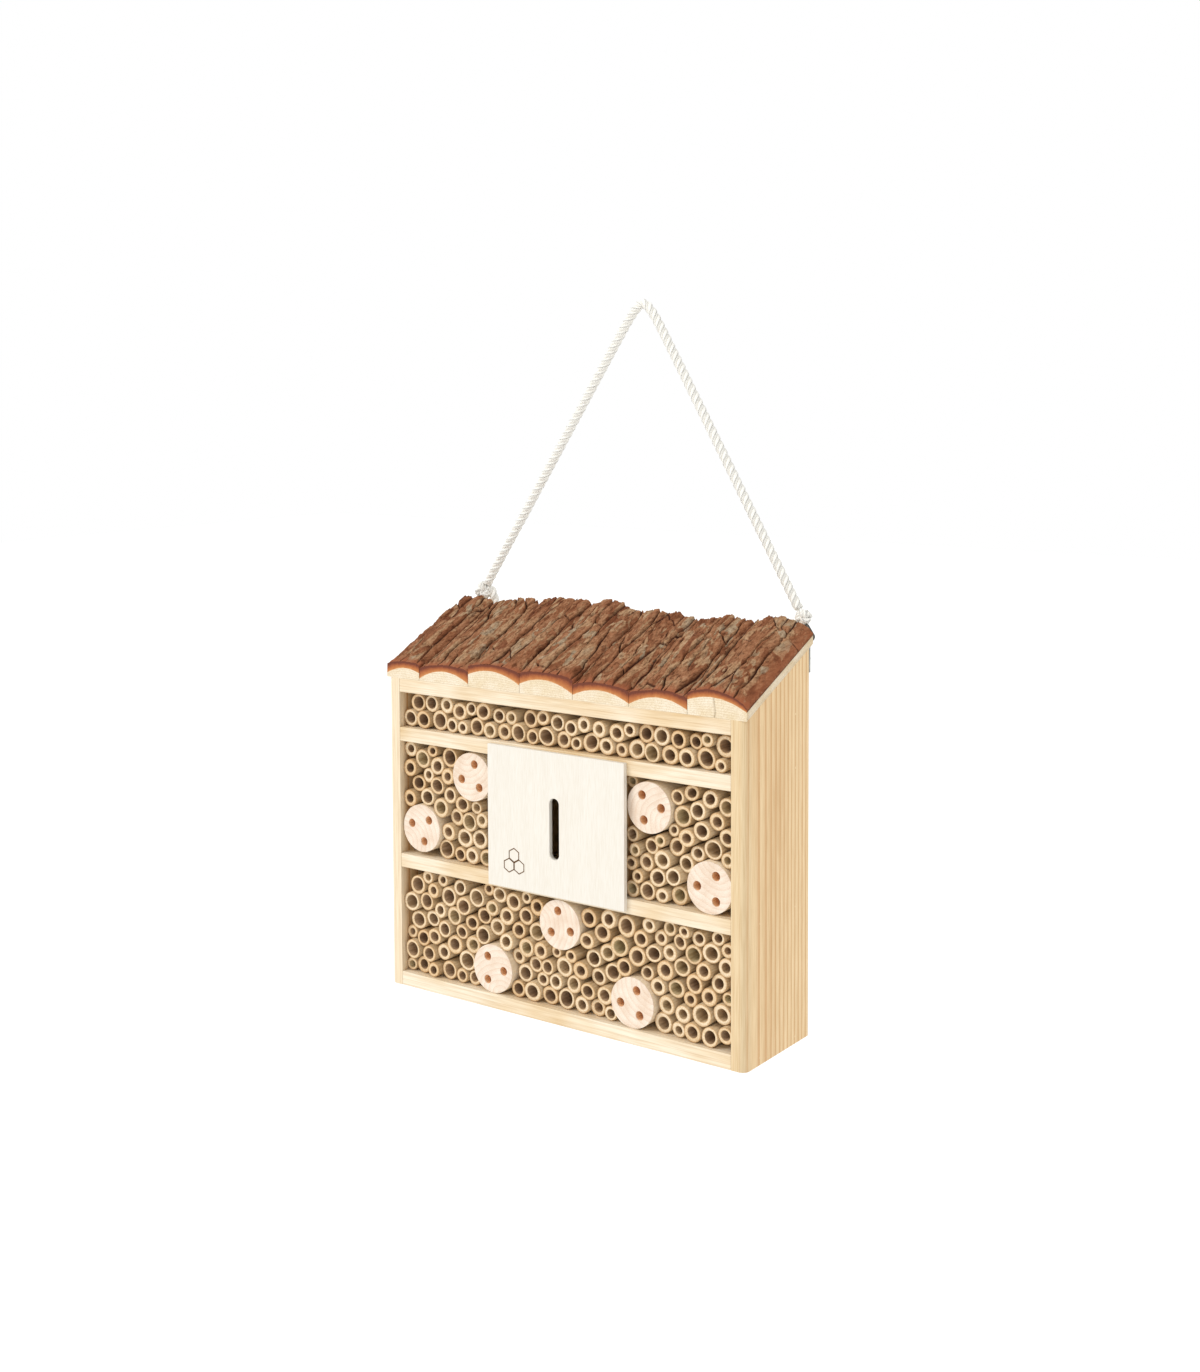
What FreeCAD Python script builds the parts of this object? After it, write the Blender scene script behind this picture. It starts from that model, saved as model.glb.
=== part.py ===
import FreeCAD, Part
import Sketcher
import math
import os
import random
from FreeCAD import Placement, Rotation, Vector

# A hanging insect hotel: an open-fronted pine case under a lean-to roof of half-log slabs,
# packed with cane tubes and drilled nest blocks, with a butterfly chamber behind a slotted plate.
# It hangs by a rope from two triangle rings. X is right, Y is back, Z is up, in millimetres.
# Every piece is drawn in the case's own frame (X = 0 at mid width, Y = 0 at the boards' front
# edges, Z = 0 at the base) and its Placement moves it so that the origin is the point of the
# rope that rests on a hook.

driving = {
    # case
    "width": 300,
    "depth": 84.5,
    "bottom_room": 77,
    "middle_room": 82,
    "top_room": 25.5,
    "roof_rise": 38.5,
    "side_thickness": 10.5,
    "side_corner_radius": 5,
    "board_thickness": 10,
    "divider_thickness": 8,
    "panel_thickness": 3,
    "rail_thickness": 10,
    "rail_drop": 22,
    # plate over the butterfly chamber
    "plate_width": 115,
    "plate_thickness": 3.5,
    "plate_centre": 2.3,
    "plate_lap_below": 8,
    "plate_lap_above": 8.5,
    "plate_cover": 5,
    "slot_width": 8,
    "slot_height": 42,
    "slot_drop": 2.5,
    # roof
    "roof_overhang": 1,
    "slab_gap": 0.3,
    # nest blocks
    "block_diameter": 34,
    "block_recess": 2,
    "hole_diameter": 6.2,
    "hole_circle": 9.5,
    "hole_depth": 62,
    # cane tubes
    "tube_smallest": 8.6,
    "tube_usual": 12.6,
    "tube_largest": 15.4,
    "tube_gap": 0.15,
    "tube_recess": 4.5,
    "recess_spread": 2.2,
    "tube_back_gap": 0.5,
    "wall_thinnest": 1.9,
    "wall_thickest": 3,
    # brads and nails
    "brad_diameter": 1.4,
    "brad_length": 28,
    "brad_inset": 18,
    "panel_nail_diameter": 1.2,
    "panel_nail_length": 14,
    "panel_nail_head": 3,
    "slab_nail_diameter": 1.8,
    "slab_nail_length": 20,
    "slab_nail_side_gap": 4,
    "panel_nail_head_height": 0.5,
    # hangers
    "strap_edge_gap": 0.5,
    "strap_width": 8,
    "strap_leaf": 2,
    "strap_length": 21,
    "loop_wall": 1,
    "ring_wire": 2,
    "ring_clearance": 0.1,
    "ring_width": 17,
    "ring_height": 11,
    "ring_lean_in": 4,
    "ring_corner": 2.4,
    "loop_above_panel": 1.5,
    "screw_diameter": 3,
    "screw_length": 16,
    "screw_head": 6,
    "screw_head_height": 2,
    "screw_below_loop": 12,
    # rope
    "rope_diameter": 7,
    "rope_standoff": 9.5,
    "knot_diameter": 13,
    "knot_above_ring": 3.6,
    "hook_right": 9.5,
    "hook_above_roof": 228,
    "hook_bend": 4.7,
}

# half-log slabs from left to right: relative width, height at the left edge, at the crown and
# at the right edge, bark included
slab_table = [
    (30.7, 9.9, 12.4, 11.4),
    (45.3, 9.3, 12.8, 10.8),
    (45.6, 14.8, 17.2, 13.7),
    (45.2, 14.2, 16.2, 13.2),
    (45.4, 10.8, 13.4, 10.5),
    (45.7, 9.8, 13.4, 11.1),
    (44.3, 14.2, 17.4, 8.6),
]

# nest blocks: compartment, which side and which end they keep close to, the gap to that side,
# the gap to that end, and the turn of their three holes in degrees
block_table = [
    ("middle_left", "right", "top", 7.0, 1.7, 75),
    ("middle_left", "left", "bottom", 1.3, 3.2, 44),
    ("middle_right", "left", "top", 3.9, 2.6, 5),
    ("middle_right", "right", "bottom", 0.15, 0.15, 60),
    ("bottom", "centre", "top", 2.4, 1.2, 100),
    ("bottom", "centre", "bottom", -56.3, 0.15, 0),
    ("bottom", "centre", "bottom", 62.0, 0.15, 68),
]

tube_seed = 27
wide_tube_count = 9
bottom_groups = 4

doc = FreeCAD.newDocument("insect_hotel")
sheet = doc.addObject("Spreadsheet::Sheet", "dims")
row = 0
for alias, value in driving.items():
    row += 1
    sheet.set("A%d" % row, alias)
    sheet.set("B%d" % row, str(value))
    sheet.setAlias("B%d" % row, alias)
for number, (share, left, crown, right) in enumerate(slab_table, 1):
    for word, value in (("share", share), ("left", left), ("crown", crown), ("right", right)):
        row += 1
        alias = "slab_%s_%d" % (word, number)
        sheet.set("A%d" % row, alias)
        sheet.set("B%d" % row, str(value))
        sheet.setAlias("B%d" % row, alias)
doc.recompute()


def size(alias):
    return float(sheet.get(alias))


# heights build up from the rooms between the level boards: as numbers, and as expressions
thickness = size("board_thickness")
lower_shelf_top = size("bottom_room") + 2 * thickness
upper_shelf_top = lower_shelf_top + size("middle_room") + thickness
front_height = upper_shelf_top + size("top_room") + thickness
back_height = front_height + size("roof_rise")
lower_top_text = "(dims.bottom_room + 2 * dims.board_thickness)"
upper_top_text = "(dims.bottom_room + dims.middle_room + 3 * dims.board_thickness)"
front_height_text = ("(dims.bottom_room + dims.middle_room + dims.top_room"
                     " + 4 * dims.board_thickness)")
back_height_text = "(%s + dims.roof_rise)" % front_height_text

half = size("width") / 2
inner_half = half - size("side_thickness")
slope = math.atan2(size("roof_rise"), size("depth"))
inner_depth = size("depth") - size("panel_thickness")
loop_outer = size("ring_wire") / 2 + size("ring_clearance") + size("loop_wall")
bar_y = size("depth") + loop_outer + size("ring_clearance")
bar_z = back_height + size("loop_above_panel")
hanger_x = inner_half + size("strap_edge_gap") + size("strap_width") / 2
hook = Vector(size("hook_right"), size("depth") + size("rope_standoff"),
              back_height + size("hook_above_roof"))
pieces = []


def keep(piece, label, low=("0", "0", "0")):
    # names a finished sub-part and moves it, from its place in the case, into the hanging frame
    to_hook = ("dims.hook_right", "dims.depth + dims.rope_standoff",
               back_height_text + " + dims.hook_above_roof")
    piece.Label = label
    for axis, place, away in zip("xyz", low, to_hook):
        piece.setExpression("Placement.Base." + axis, "%s - (%s)" % (place, away))
    pieces.append(piece)


def board(label, low, lengths):
    # a plain rectangular board: its low corner and its three lengths are expressions
    piece = doc.addObject("Part::Box", label)
    for name, text in zip(("Length", "Width", "Height"), lengths):
        piece.setExpression(name, text)
    keep(piece, label, low)


def solid(label, kind, **sizes):
    # a primitive used inside a boolean; at_x, at_y and at_z place it
    piece = doc.addObject("Part::" + kind, label)
    for name, text in sizes.items():
        target = "Placement.Base." + name[-1] if name in ("at_x", "at_y", "at_z") else name
        piece.setExpression(target, text)
    return piece


def boolean(kind, label, base, tool):
    piece = doc.addObject("Part::" + kind, label)
    piece.Base = base
    piece.Tool = tool
    return piece


def coded(label, shape):
    # a sub-part whose shape is worked out below from the sheet's values
    piece = doc.addObject("Part::Feature", label)
    piece.Shape = shape
    piece.Placement = Placement(hook * -1, Rotation())
    piece.Label = label
    pieces.append(piece)
    return piece


def plane(body, role):
    return next(item for item in body.Origin.OriginFeatures if item.Role == role)


def new_body(label, role):
    body = doc.addObject("PartDesign::Body", label)
    sketch = body.newObject("Sketcher::SketchObject", label + "_outline")
    sketch.AttachmentSupport = [(plane(body, role), "")]
    sketch.MapMode = "FlatFace"
    return body, sketch


def outline(sketch, corners):
    # a closed outline of straight lines; each corner is a pair of (value, expression) pairs
    count = len(corners)
    spots = [Vector(across[0], up[0], 0) for across, up in corners]
    for n in range(count):
        sketch.addGeometry(Part.LineSegment(spots[n], spots[(n + 1) % count]), False)
    for n in range(count):
        sketch.addConstraint(Sketcher.Constraint("Coincident", n, 2, (n + 1) % count, 1))
    for n, (across, up) in enumerate(corners):
        for kind, (value, text) in (("DistanceX", across), ("DistanceY", up)):
            item = sketch.addConstraint(Sketcher.Constraint(kind, -1, 1, n, 1, value))
            sketch.setExpression("Constraints[%d]" % item, text)


# side boards: a full-height blank with two rounded outer corners, its top cut to the roof slope
def side_board(label, side):
    body, sketch = new_body(label, "XY_Plane")
    outer = ("%g" % side) + " * dims.width / 2"
    inner = ("%g" % side) + " * (dims.width / 2 - dims.side_thickness)"
    x_out = (side * half, outer)
    x_in = (side * inner_half, inner)
    front = (0, "0")
    back = (size("depth"), "dims.depth")
    outline(sketch, [(x_in, front), (x_out, front), (x_out, back), (x_in, back)])
    doc.recompute()
    blank = body.newObject("PartDesign::Pad", label + "_blank")
    blank.Profile = sketch
    blank.setExpression("Length", back_height_text)
    body.Tip = blank
    doc.recompute()
    upright = []
    for n, edge in enumerate(blank.Shape.Edges, 1):
        ends = [v.Point for v in edge.Vertexes]
        is_outer = all(abs(p.x - side * half) < 1e-6 for p in ends)
        if is_outer and abs(ends[0].z - ends[1].z) > back_height / 2:
            upright.append("Edge%d" % n)
    rounding = body.newObject("PartDesign::Fillet", label + "_corners")
    rounding.Base = (blank, upright)
    rounding.setExpression("Radius", "dims.side_corner_radius")
    body.Tip = rounding
    doc.recompute()
    cut = body.newObject("Sketcher::SketchObject", label + "_slope")
    cut.AttachmentSupport = [(plane(body, "YZ_Plane"), "")]
    cut.MapMode = "FlatFace"
    top = (back_height, back_height_text)
    front_top = (front_height, front_height_text)
    outline(cut, [(front, front_top), (back, top), (front, top)])
    doc.recompute()
    slope_cut = body.newObject("PartDesign::Pocket", label + "_roof_cut")
    slope_cut.Profile = cut
    slope_cut.Type = "ThroughAll"
    slope_cut.Midplane = True
    body.Tip = slope_cut
    doc.recompute()
    if slope_cut.Shape.Volume > rounding.Shape.Volume - 1:
        raise RuntimeError(label + ": the roof cut removed nothing")
    keep(body, label)


side_board("left_side_board", -1)
side_board("right_side_board", 1)

# level boards between the sides, all in front of the back panel
inner_low = "dims.side_thickness - dims.width / 2"
inner_length = "dims.width - 2 * dims.side_thickness"
board_depth = "dims.depth - dims.panel_thickness"
level_boards = {
    "bottom_board": "0",
    "lower_shelf": lower_top_text + " - dims.board_thickness",
    "upper_shelf": upper_top_text + " - dims.board_thickness",
    "top_board": front_height_text + " - dims.board_thickness",
}
for label, bottom in level_boards.items():
    board(label, (inner_low, "0", bottom), (inner_length, board_depth, "dims.board_thickness"))

board("back_panel", (inner_low, board_depth, "0"),
      (inner_length, "dims.panel_thickness", back_height_text + " - dims.panel_thickness"))

# upright dividers either side of the butterfly chamber
divider_out = "(dims.plate_width / 2 - dims.plate_cover)"
board("left_divider", ("dims.plate_centre - " + divider_out, "0", lower_top_text),
      ("dims.divider_thickness", board_depth, "dims.middle_room"))
board("right_divider",
      ("dims.plate_centre + " + divider_out + " - dims.divider_thickness", "0",
       lower_top_text),
      ("dims.divider_thickness", board_depth, "dims.middle_room"))


# rear rail: the batten under the slabs' upper ends, its top planed to the roof slope
def rear_rail():
    body, sketch = new_body("rear_rail", "YZ_Plane")
    rise = "dims.roof_rise / dims.depth"
    y_front = inner_depth - size("rail_thickness")
    front_text = "dims.depth - dims.panel_thickness - dims.rail_thickness"
    back_text = "dims.depth - dims.panel_thickness"
    low = back_height - size("rail_drop")
    tangent = math.tan(slope)
    front = (y_front, front_text)
    back = (inner_depth, back_text)
    bottom = (low, back_height_text + " - dims.rail_drop")
    top_front = (front_height + y_front * tangent,
                 "%s + (%s) * %s" % (front_height_text, front_text, rise))
    top_back = (front_height + inner_depth * tangent,
                "%s + (%s) * %s" % (front_height_text, back_text, rise))
    outline(sketch, [(front, bottom), (back, bottom), (back, top_back), (front, top_front)])
    doc.recompute()
    pad = body.newObject("PartDesign::Pad", "rear_rail_length")
    pad.Profile = sketch
    pad.Midplane = True
    pad.setExpression("Length", inner_length)
    body.Tip = pad
    keep(body, "rear_rail")


rear_rail()


# entrance plate: thin panel over the chamber with a round-ended upright slot
def entrance_plate():
    body, sketch = new_body("entrance_plate", "XZ_Plane")
    left = (size("plate_centre") - size("plate_width") / 2,
            "dims.plate_centre - dims.plate_width / 2")
    right = (size("plate_centre") + size("plate_width") / 2,
             "dims.plate_centre + dims.plate_width / 2")
    low = (lower_shelf_top - size("plate_lap_below"), lower_top_text + " - dims.plate_lap_below")
    high = (lower_shelf_top + size("middle_room") + size("plate_lap_above"),
            lower_top_text + " + dims.middle_room + dims.plate_lap_above")
    outline(sketch, [(left, low), (right, low), (right, high), (left, high)])
    doc.recompute()
    pad = body.newObject("PartDesign::Pad", "plate_blank")
    pad.Profile = sketch
    pad.setExpression("Length", "dims.plate_thickness")
    body.Tip = pad
    doc.recompute()
    if pad.Shape.BoundBox.YMax > 1e-6:
        pad.Reversed = True
    slot = body.newObject("Sketcher::SketchObject", "slot_outline")
    slot.AttachmentSupport = [(plane(body, "XZ_Plane"), "")]
    slot.MapMode = "FlatFace"
    radius = size("slot_width") / 2
    reach = size("slot_height") / 2 - radius
    middle = lower_shelf_top + size("middle_room") / 2 - size("slot_drop")
    middle_text = lower_top_text + " + dims.middle_room / 2 - dims.slot_drop"
    across = size("plate_centre")
    top = Vector(across, middle + reach, 0)
    bottom = Vector(across, middle - reach, 0)
    out = Vector(0, 0, 1)
    slot.addGeometry(Part.ArcOfCircle(Part.Circle(top, out, radius), 0, math.pi), False)
    slot.addGeometry(
        Part.ArcOfCircle(Part.Circle(bottom, out, radius), math.pi, 2 * math.pi), False)
    side = Vector(radius, 0, 0)
    slot.addGeometry(Part.LineSegment(top - side, bottom - side), False)
    slot.addGeometry(Part.LineSegment(bottom + side, top + side), False)
    for first, end_a, second, end_b in ((0, 2, 2, 1), (2, 2, 1, 1), (1, 2, 3, 1), (3, 2, 0, 1)):
        slot.addConstraint(Sketcher.Constraint("Tangent", first, end_a, second, end_b))
    slot.addConstraint(Sketcher.Constraint("Vertical", 2))
    bound = (("Radius", (0, radius), "dims.slot_width / 2"),
             ("DistanceX", (-1, 1, 0, 3, across), "dims.plate_centre"),
             ("DistanceY", (-1, 1, 0, 3, middle + reach),
              middle_text + " + dims.slot_height / 2 - dims.slot_width / 2"),
             ("DistanceY", (-1, 1, 1, 3, middle - reach),
              middle_text + " - dims.slot_height / 2 + dims.slot_width / 2"))
    for kind, values, text in bound:
        item = slot.addConstraint(Sketcher.Constraint(kind, *values))
        slot.setExpression("Constraints[%d]" % item, text)
    doc.recompute()
    blank_volume = pad.Shape.Volume
    cut = body.newObject("PartDesign::Pocket", "entrance_slot")
    cut.Profile = slot
    cut.Type = "ThroughAll"
    cut.Midplane = True
    body.Tip = cut
    doc.recompute()
    if cut.Shape.Volume > blank_volume - 1:
        raise RuntimeError("entrance_plate: the slot removed nothing")
    keep(body, "entrance_plate")


entrance_plate()


# roof slabs: half-round log slices with their bark, side by side, their ends cut upright
slab_places = []


def roof_slabs():
    count = len(slab_table)
    total = sum(size("slab_share_%d" % n) for n in range(1, count + 1))
    total_text = " + ".join("dims.slab_share_%d" % n for n in range(1, count + 1))
    cover = size("width") + 2 * size("roof_overhang") - (count - 1) * size("slab_gap")
    cover_text = "(dims.width + 2 * dims.roof_overhang - %d * dims.slab_gap)" % (count - 1)
    before = 0.0
    for number in range(1, count + 1):
        label = "roof_slab_%d" % number
        body, sketch = new_body(label, "XZ_Plane")
        share = size("slab_share_%d" % number)
        wide = cover * share / total
        start = (before * cover / total + (number - 1) * size("slab_gap")
                 - half - size("roof_overhang"))
        done_text = " + ".join(["0"] + ["dims.slab_share_%d" % n for n in range(1, number)])
        start_text = "(%s) * %s / (%s) + %d * dims.slab_gap - dims.width / 2" % (
            done_text, cover_text, total_text, number - 1) + " - dims.roof_overhang"
        left, crown, right = (size("slab_%s_%d" % (word, number))
                              for word in ("left", "crown", "right"))
        base = front_height
        low_left = Vector(start, base, 0)
        low_right = Vector(start + wide, base, 0)
        high_left = low_left + Vector(0, left, 0)
        high_right = low_right + Vector(0, right, 0)
        peak = Vector(start + wide / 2, base + crown, 0)
        sketch.addGeometry(Part.LineSegment(low_left, low_right), False)
        sketch.addGeometry(Part.LineSegment(low_right, high_right), False)
        sketch.addGeometry(Part.Arc(high_right, peak, high_left), False)
        sketch.addGeometry(Part.LineSegment(high_left, low_left), False)
        sketch.addGeometry(Part.Point(peak), True)
        arc = sketch.Geometry[2]
        starts_right = (arc.StartPoint - high_right).Length < (arc.StartPoint - high_left).Length
        arc_right, arc_left = (1, 2) if starts_right else (2, 1)
        for values in ((0, 2, 1, 1), (1, 2, 2, arc_right), (2, arc_left, 3, 1), (3, 2, 0, 1)):
            sketch.addConstraint(Sketcher.Constraint("Coincident", *values))
        sketch.addConstraint(Sketcher.Constraint("Horizontal", 0))
        sketch.addConstraint(Sketcher.Constraint("Vertical", 1))
        sketch.addConstraint(Sketcher.Constraint("Vertical", 3))
        sketch.addConstraint(Sketcher.Constraint("PointOnObject", 4, 1, 2))
        wide_text = "%s * dims.slab_share_%d / (%s)" % (cover_text, number, total_text)
        bound = (("DistanceX", (-1, 1, 0, 1, start), start_text),
                 ("DistanceY", (-1, 1, 0, 1, base), front_height_text),
                 ("DistanceX", (0, 1, 0, 2, wide), wide_text),
                 ("DistanceY", (1, 1, 1, 2, right), "dims.slab_right_%d" % number),
                 ("DistanceY", (3, 2, 3, 1, left), "dims.slab_left_%d" % number),
                 ("DistanceX", (0, 1, 4, 1, wide / 2), wide_text + " / 2"),
                 ("DistanceY", (0, 1, 4, 1, crown), "dims.slab_crown_%d" % number))
        for kind, values, text in bound:
            item = sketch.addConstraint(Sketcher.Constraint(kind, *values))
            sketch.setExpression("Constraints[%d]" % item, text)
        doc.recompute()
        pad = body.newObject("PartDesign::Pad", label + "_length")
        pad.Profile = sketch
        pad.UseCustomVector = True
        pad.Direction = Vector(0, math.cos(slope), math.sin(slope))
        pad.AlongSketchNormal = False
        pad.setExpression("Length", "dims.depth / %.12f" % math.cos(slope))
        body.Tip = pad
        doc.recompute()
        if pad.Shape.BoundBox.YMin < -1e-6:
            pad.Reversed = True
            doc.recompute()
        keep(body, label)
        slab_places.append((start, wide, crown))
        before += share


roof_slabs()

# compartments that hold the canes: low and high X, low and high Z
left_divider_face = size("plate_centre") - size("plate_width") / 2 + size("plate_cover")
right_divider_face = size("plate_centre") + size("plate_width") / 2 - size("plate_cover")
upper_shelf_bottom = upper_shelf_top - thickness
lower_shelf_bottom = lower_shelf_top - thickness
top_board_bottom = front_height - thickness
compartments = {
    "top": (-inner_half, inner_half, upper_shelf_top, top_board_bottom),
    "middle_left": (-inner_half, left_divider_face, lower_shelf_top, upper_shelf_bottom),
    "middle_right": (right_divider_face, inner_half, lower_shelf_top, upper_shelf_bottom),
    "bottom": (-inner_half, inner_half, thickness, lower_shelf_bottom),
}
block_radius = size("block_diameter") / 2


# nest blocks: round billets with three holes bored from the front
def nest_blocks():
    placed = {name: [] for name in compartments}
    length = inner_depth - size("block_recess") - size("tube_back_gap")
    for number, (room, side, end, side_gap, end_gap, turn) in enumerate(block_table, 1):
        low_x, high_x, low_z, high_z = compartments[room]
        across = {"left": low_x + block_radius + side_gap,
                  "right": high_x - block_radius - side_gap,
                  "centre": side_gap}[side]
        up = {"bottom": low_z + block_radius + end_gap,
              "top": high_z - block_radius - end_gap}[end]
        face = Vector(across, size("block_recess"), up)
        block = Part.makeCylinder(block_radius, length, face, Vector(0, 1, 0))
        for n in range(3):
            angle = math.radians(turn + 120 * n)
            offset = Vector(math.cos(angle), 0, math.sin(angle)) * size("hole_circle")
            hole = Part.makeCylinder(size("hole_diameter") / 2, size("hole_depth"),
                                     face + offset, Vector(0, 1, 0))
            block = block.cut(hole)
        coded("nest_block_%d" % number, block)
        placed[room].append((across, up, block_radius))
    return placed


blocks_in = nest_blocks()


def resting_places(room, circles, radius):
    # every centre at which a circle touches two others, a circle and a wall, or two walls
    low_x, high_x, low_z, high_z = room
    floor = low_z + radius
    found = [(floor, low_x + radius), (floor, high_x - radius)]
    for n, (x1, z1, r1) in enumerate(circles):
        reach = r1 + radius
        drop = reach * reach - (floor - z1) ** 2
        if drop > 0:
            found.append((floor, x1 - math.sqrt(drop)))
            found.append((floor, x1 + math.sqrt(drop)))
        for wall in (low_x + radius, high_x - radius):
            drop = reach * reach - (wall - x1) ** 2
            if drop > 0:
                found.append((z1 + math.sqrt(drop), wall))
        for x2, z2, r2 in circles[n + 1:]:
            dx = x2 - x1
            dz = z2 - z1
            apart = math.hypot(dx, dz)
            other = r2 + radius
            if apart >= reach + other or apart < 1e-9:
                continue
            along = (apart * apart + reach * reach - other * other) / (2 * apart)
            square = reach * reach - along * along
            if square <= 0:
                continue
            off = math.sqrt(square)
            for turn in (off, -off):
                found.append((z1 + (dz * along + dx * turn) / apart,
                              x1 + (dx * along - dz * turn) / apart))
    found.sort()
    return found


def settle(room, circles, radius):
    # the lowest free resting place for a circle, or None
    low_x, high_x, low_z, high_z = room
    slack = 1e-7
    for z, x in resting_places(room, circles, radius):
        if z > high_z - radius + slack:
            return None
        if z < low_z + radius - slack or not low_x + radius - slack < x < high_x - radius + slack:
            continue
        if all((x - cx) ** 2 + (z - cz) ** 2 > (radius + cr - slack) ** 2 for cx, cz, cr in circles):
            return x, z
    return None


def fill(room, fixed, rng):
    # drops circles of random size into a compartment until not even the smallest fits
    gap = size("tube_gap")
    low_x, high_x, low_z, high_z = room
    inner = (low_x + gap / 2, high_x - gap / 2, low_z + gap / 2, high_z - gap / 2)
    circles = [(x, z, r + gap / 2) for x, z, r in fixed]
    placed = []
    smallest = (size("tube_smallest") + gap) / 2
    limit = size("tube_largest")
    while True:
        outer = rng.triangular(size("tube_smallest"), min(limit, size("tube_largest")),
                               min(limit, size("tube_usual")))
        radius = (outer + gap) / 2
        spot = settle(inner, circles, radius)
        while spot is None and radius > smallest:
            radius = max(smallest, radius - 0.4)
            spot = settle(inner, circles, radius)
        if spot is None:
            return placed
        circles.append((spot[0], spot[1], radius))
        placed.append((spot[0], spot[1], radius - gap / 2))


# cane tubes: one hollow cane for each circle, its front end set back by its own amount
def cane(x, z, radius, bore, start):
    length = inner_depth - size("tube_back_gap") - start
    tube = Part.makeCylinder(radius, length, Vector(x, start, z), Vector(0, 1, 0))
    return tube.cut(Part.makeCylinder(bore, length, Vector(x, start, z), Vector(0, 1, 0)))


def cane_tubes():
    rng = random.Random(tube_seed)
    canes = []
    for room, walls in compartments.items():
        for x, z, radius in fill(walls, blocks_in[room], rng):
            wall = rng.uniform(size("wall_thinnest"), size("wall_thickest"))
            wall = min(wall, radius * 0.5)
            start = size("tube_recess") + rng.uniform(-1, 1) * size("recess_spread")
            canes.append((room, x, z, radius, radius - wall, start))
    print("canes:", len(canes), {room: sum(c[0] == room for c in canes) for room in compartments})
    widest = sorted(canes, key=lambda item: -item[4])[:wide_tube_count]
    groups = {}
    for item in canes:
        room, x = item[0], item[1]
        low_x, high_x = compartments[room][:2]
        share = (x - low_x) / (high_x - low_x)
        if item in widest:
            name = "wide_tubes"
        elif room == "bottom":
            name = "bottom_tubes_%d" % (1 + min(bottom_groups - 1, int(share * bottom_groups)))
        elif room == "top":
            name = "top_tubes_left" if share < 0.5 else "top_tubes_right"
        else:
            name = room.replace("middle_", "middle_tubes_")
        groups.setdefault(name, []).append(cane(*item[1:]))
    for name, solids in groups.items():
        coded(name, Part.makeCompound(solids))
        print(name, len(solids))


cane_tubes()


# brads, nails and screws: straight shanks, with a flat head where the real one has a head
def nail(point, along, diameter, length, head=0, head_height=0):
    shank = Part.makeCylinder(diameter / 2, length, point, along)
    if not head:
        return shank
    cap = Part.makeCylinder(head / 2, head_height, point - along * head_height, along)
    return cap.fuse(shank).removeSplitter()


def fasteners():
    brads = []
    middle = thickness / 2
    levels = (middle, lower_shelf_bottom + middle, upper_shelf_bottom + middle,
              top_board_bottom + middle)
    for side in (-1, 1):
        for level in levels:
            for y in (size("brad_inset"), inner_depth - size("brad_inset")):
                start = Vector(side * half, y, level)
                brads.append(nail(start, Vector(-side, 0, 0), size("brad_diameter"),
                                  size("brad_length")))
    coded("frame_brads", Part.makeCompound(brads))

    panel = []
    rail_level = back_height - size("rail_drop") / 2
    for level in levels[:3] + (rail_level,):
        for share in (-0.85, -0.3, 0.3, 0.85):
            start = Vector(share * inner_half, size("depth") - size("panel_nail_head_height"), level)
            panel.append(nail(start, Vector(0, -1, 0), size("panel_nail_diameter"),
                              size("panel_nail_length"), size("panel_nail_head"),
                              size("panel_nail_head_height")))
    coded("back_panel_nails", Part.makeCompound(panel))

    # slab nails are sunk to half the slab's height, clear of the side boards
    slab = []
    rail_y = inner_depth - size("rail_thickness") / 2
    reach = inner_half - size("slab_nail_side_gap")
    for start, wide, crown in slab_places:
        across = min(max(start + wide / 2, -reach), reach)
        for y in (thickness, rail_y):
            sunk = front_height + y * math.tan(slope) + crown / 2
            slab.append(nail(Vector(across, y, sunk), Vector(0, 0, -1),
                             size("slab_nail_diameter"), size("slab_nail_length")))
    coded("slab_nails", Part.makeCompound(slab))

    screws = []
    for side in (-1, 1):
        start = Vector(side * hanger_x, size("depth") + size("strap_leaf"),
                       bar_z - size("screw_below_loop"))
        screws.append(nail(start, Vector(0, -1, 0), size("screw_diameter"), size("screw_length"),
                           size("screw_head"), size("screw_head_height")))
    coded("hanger_screws", Part.makeCompound(screws))


fasteners()


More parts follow.
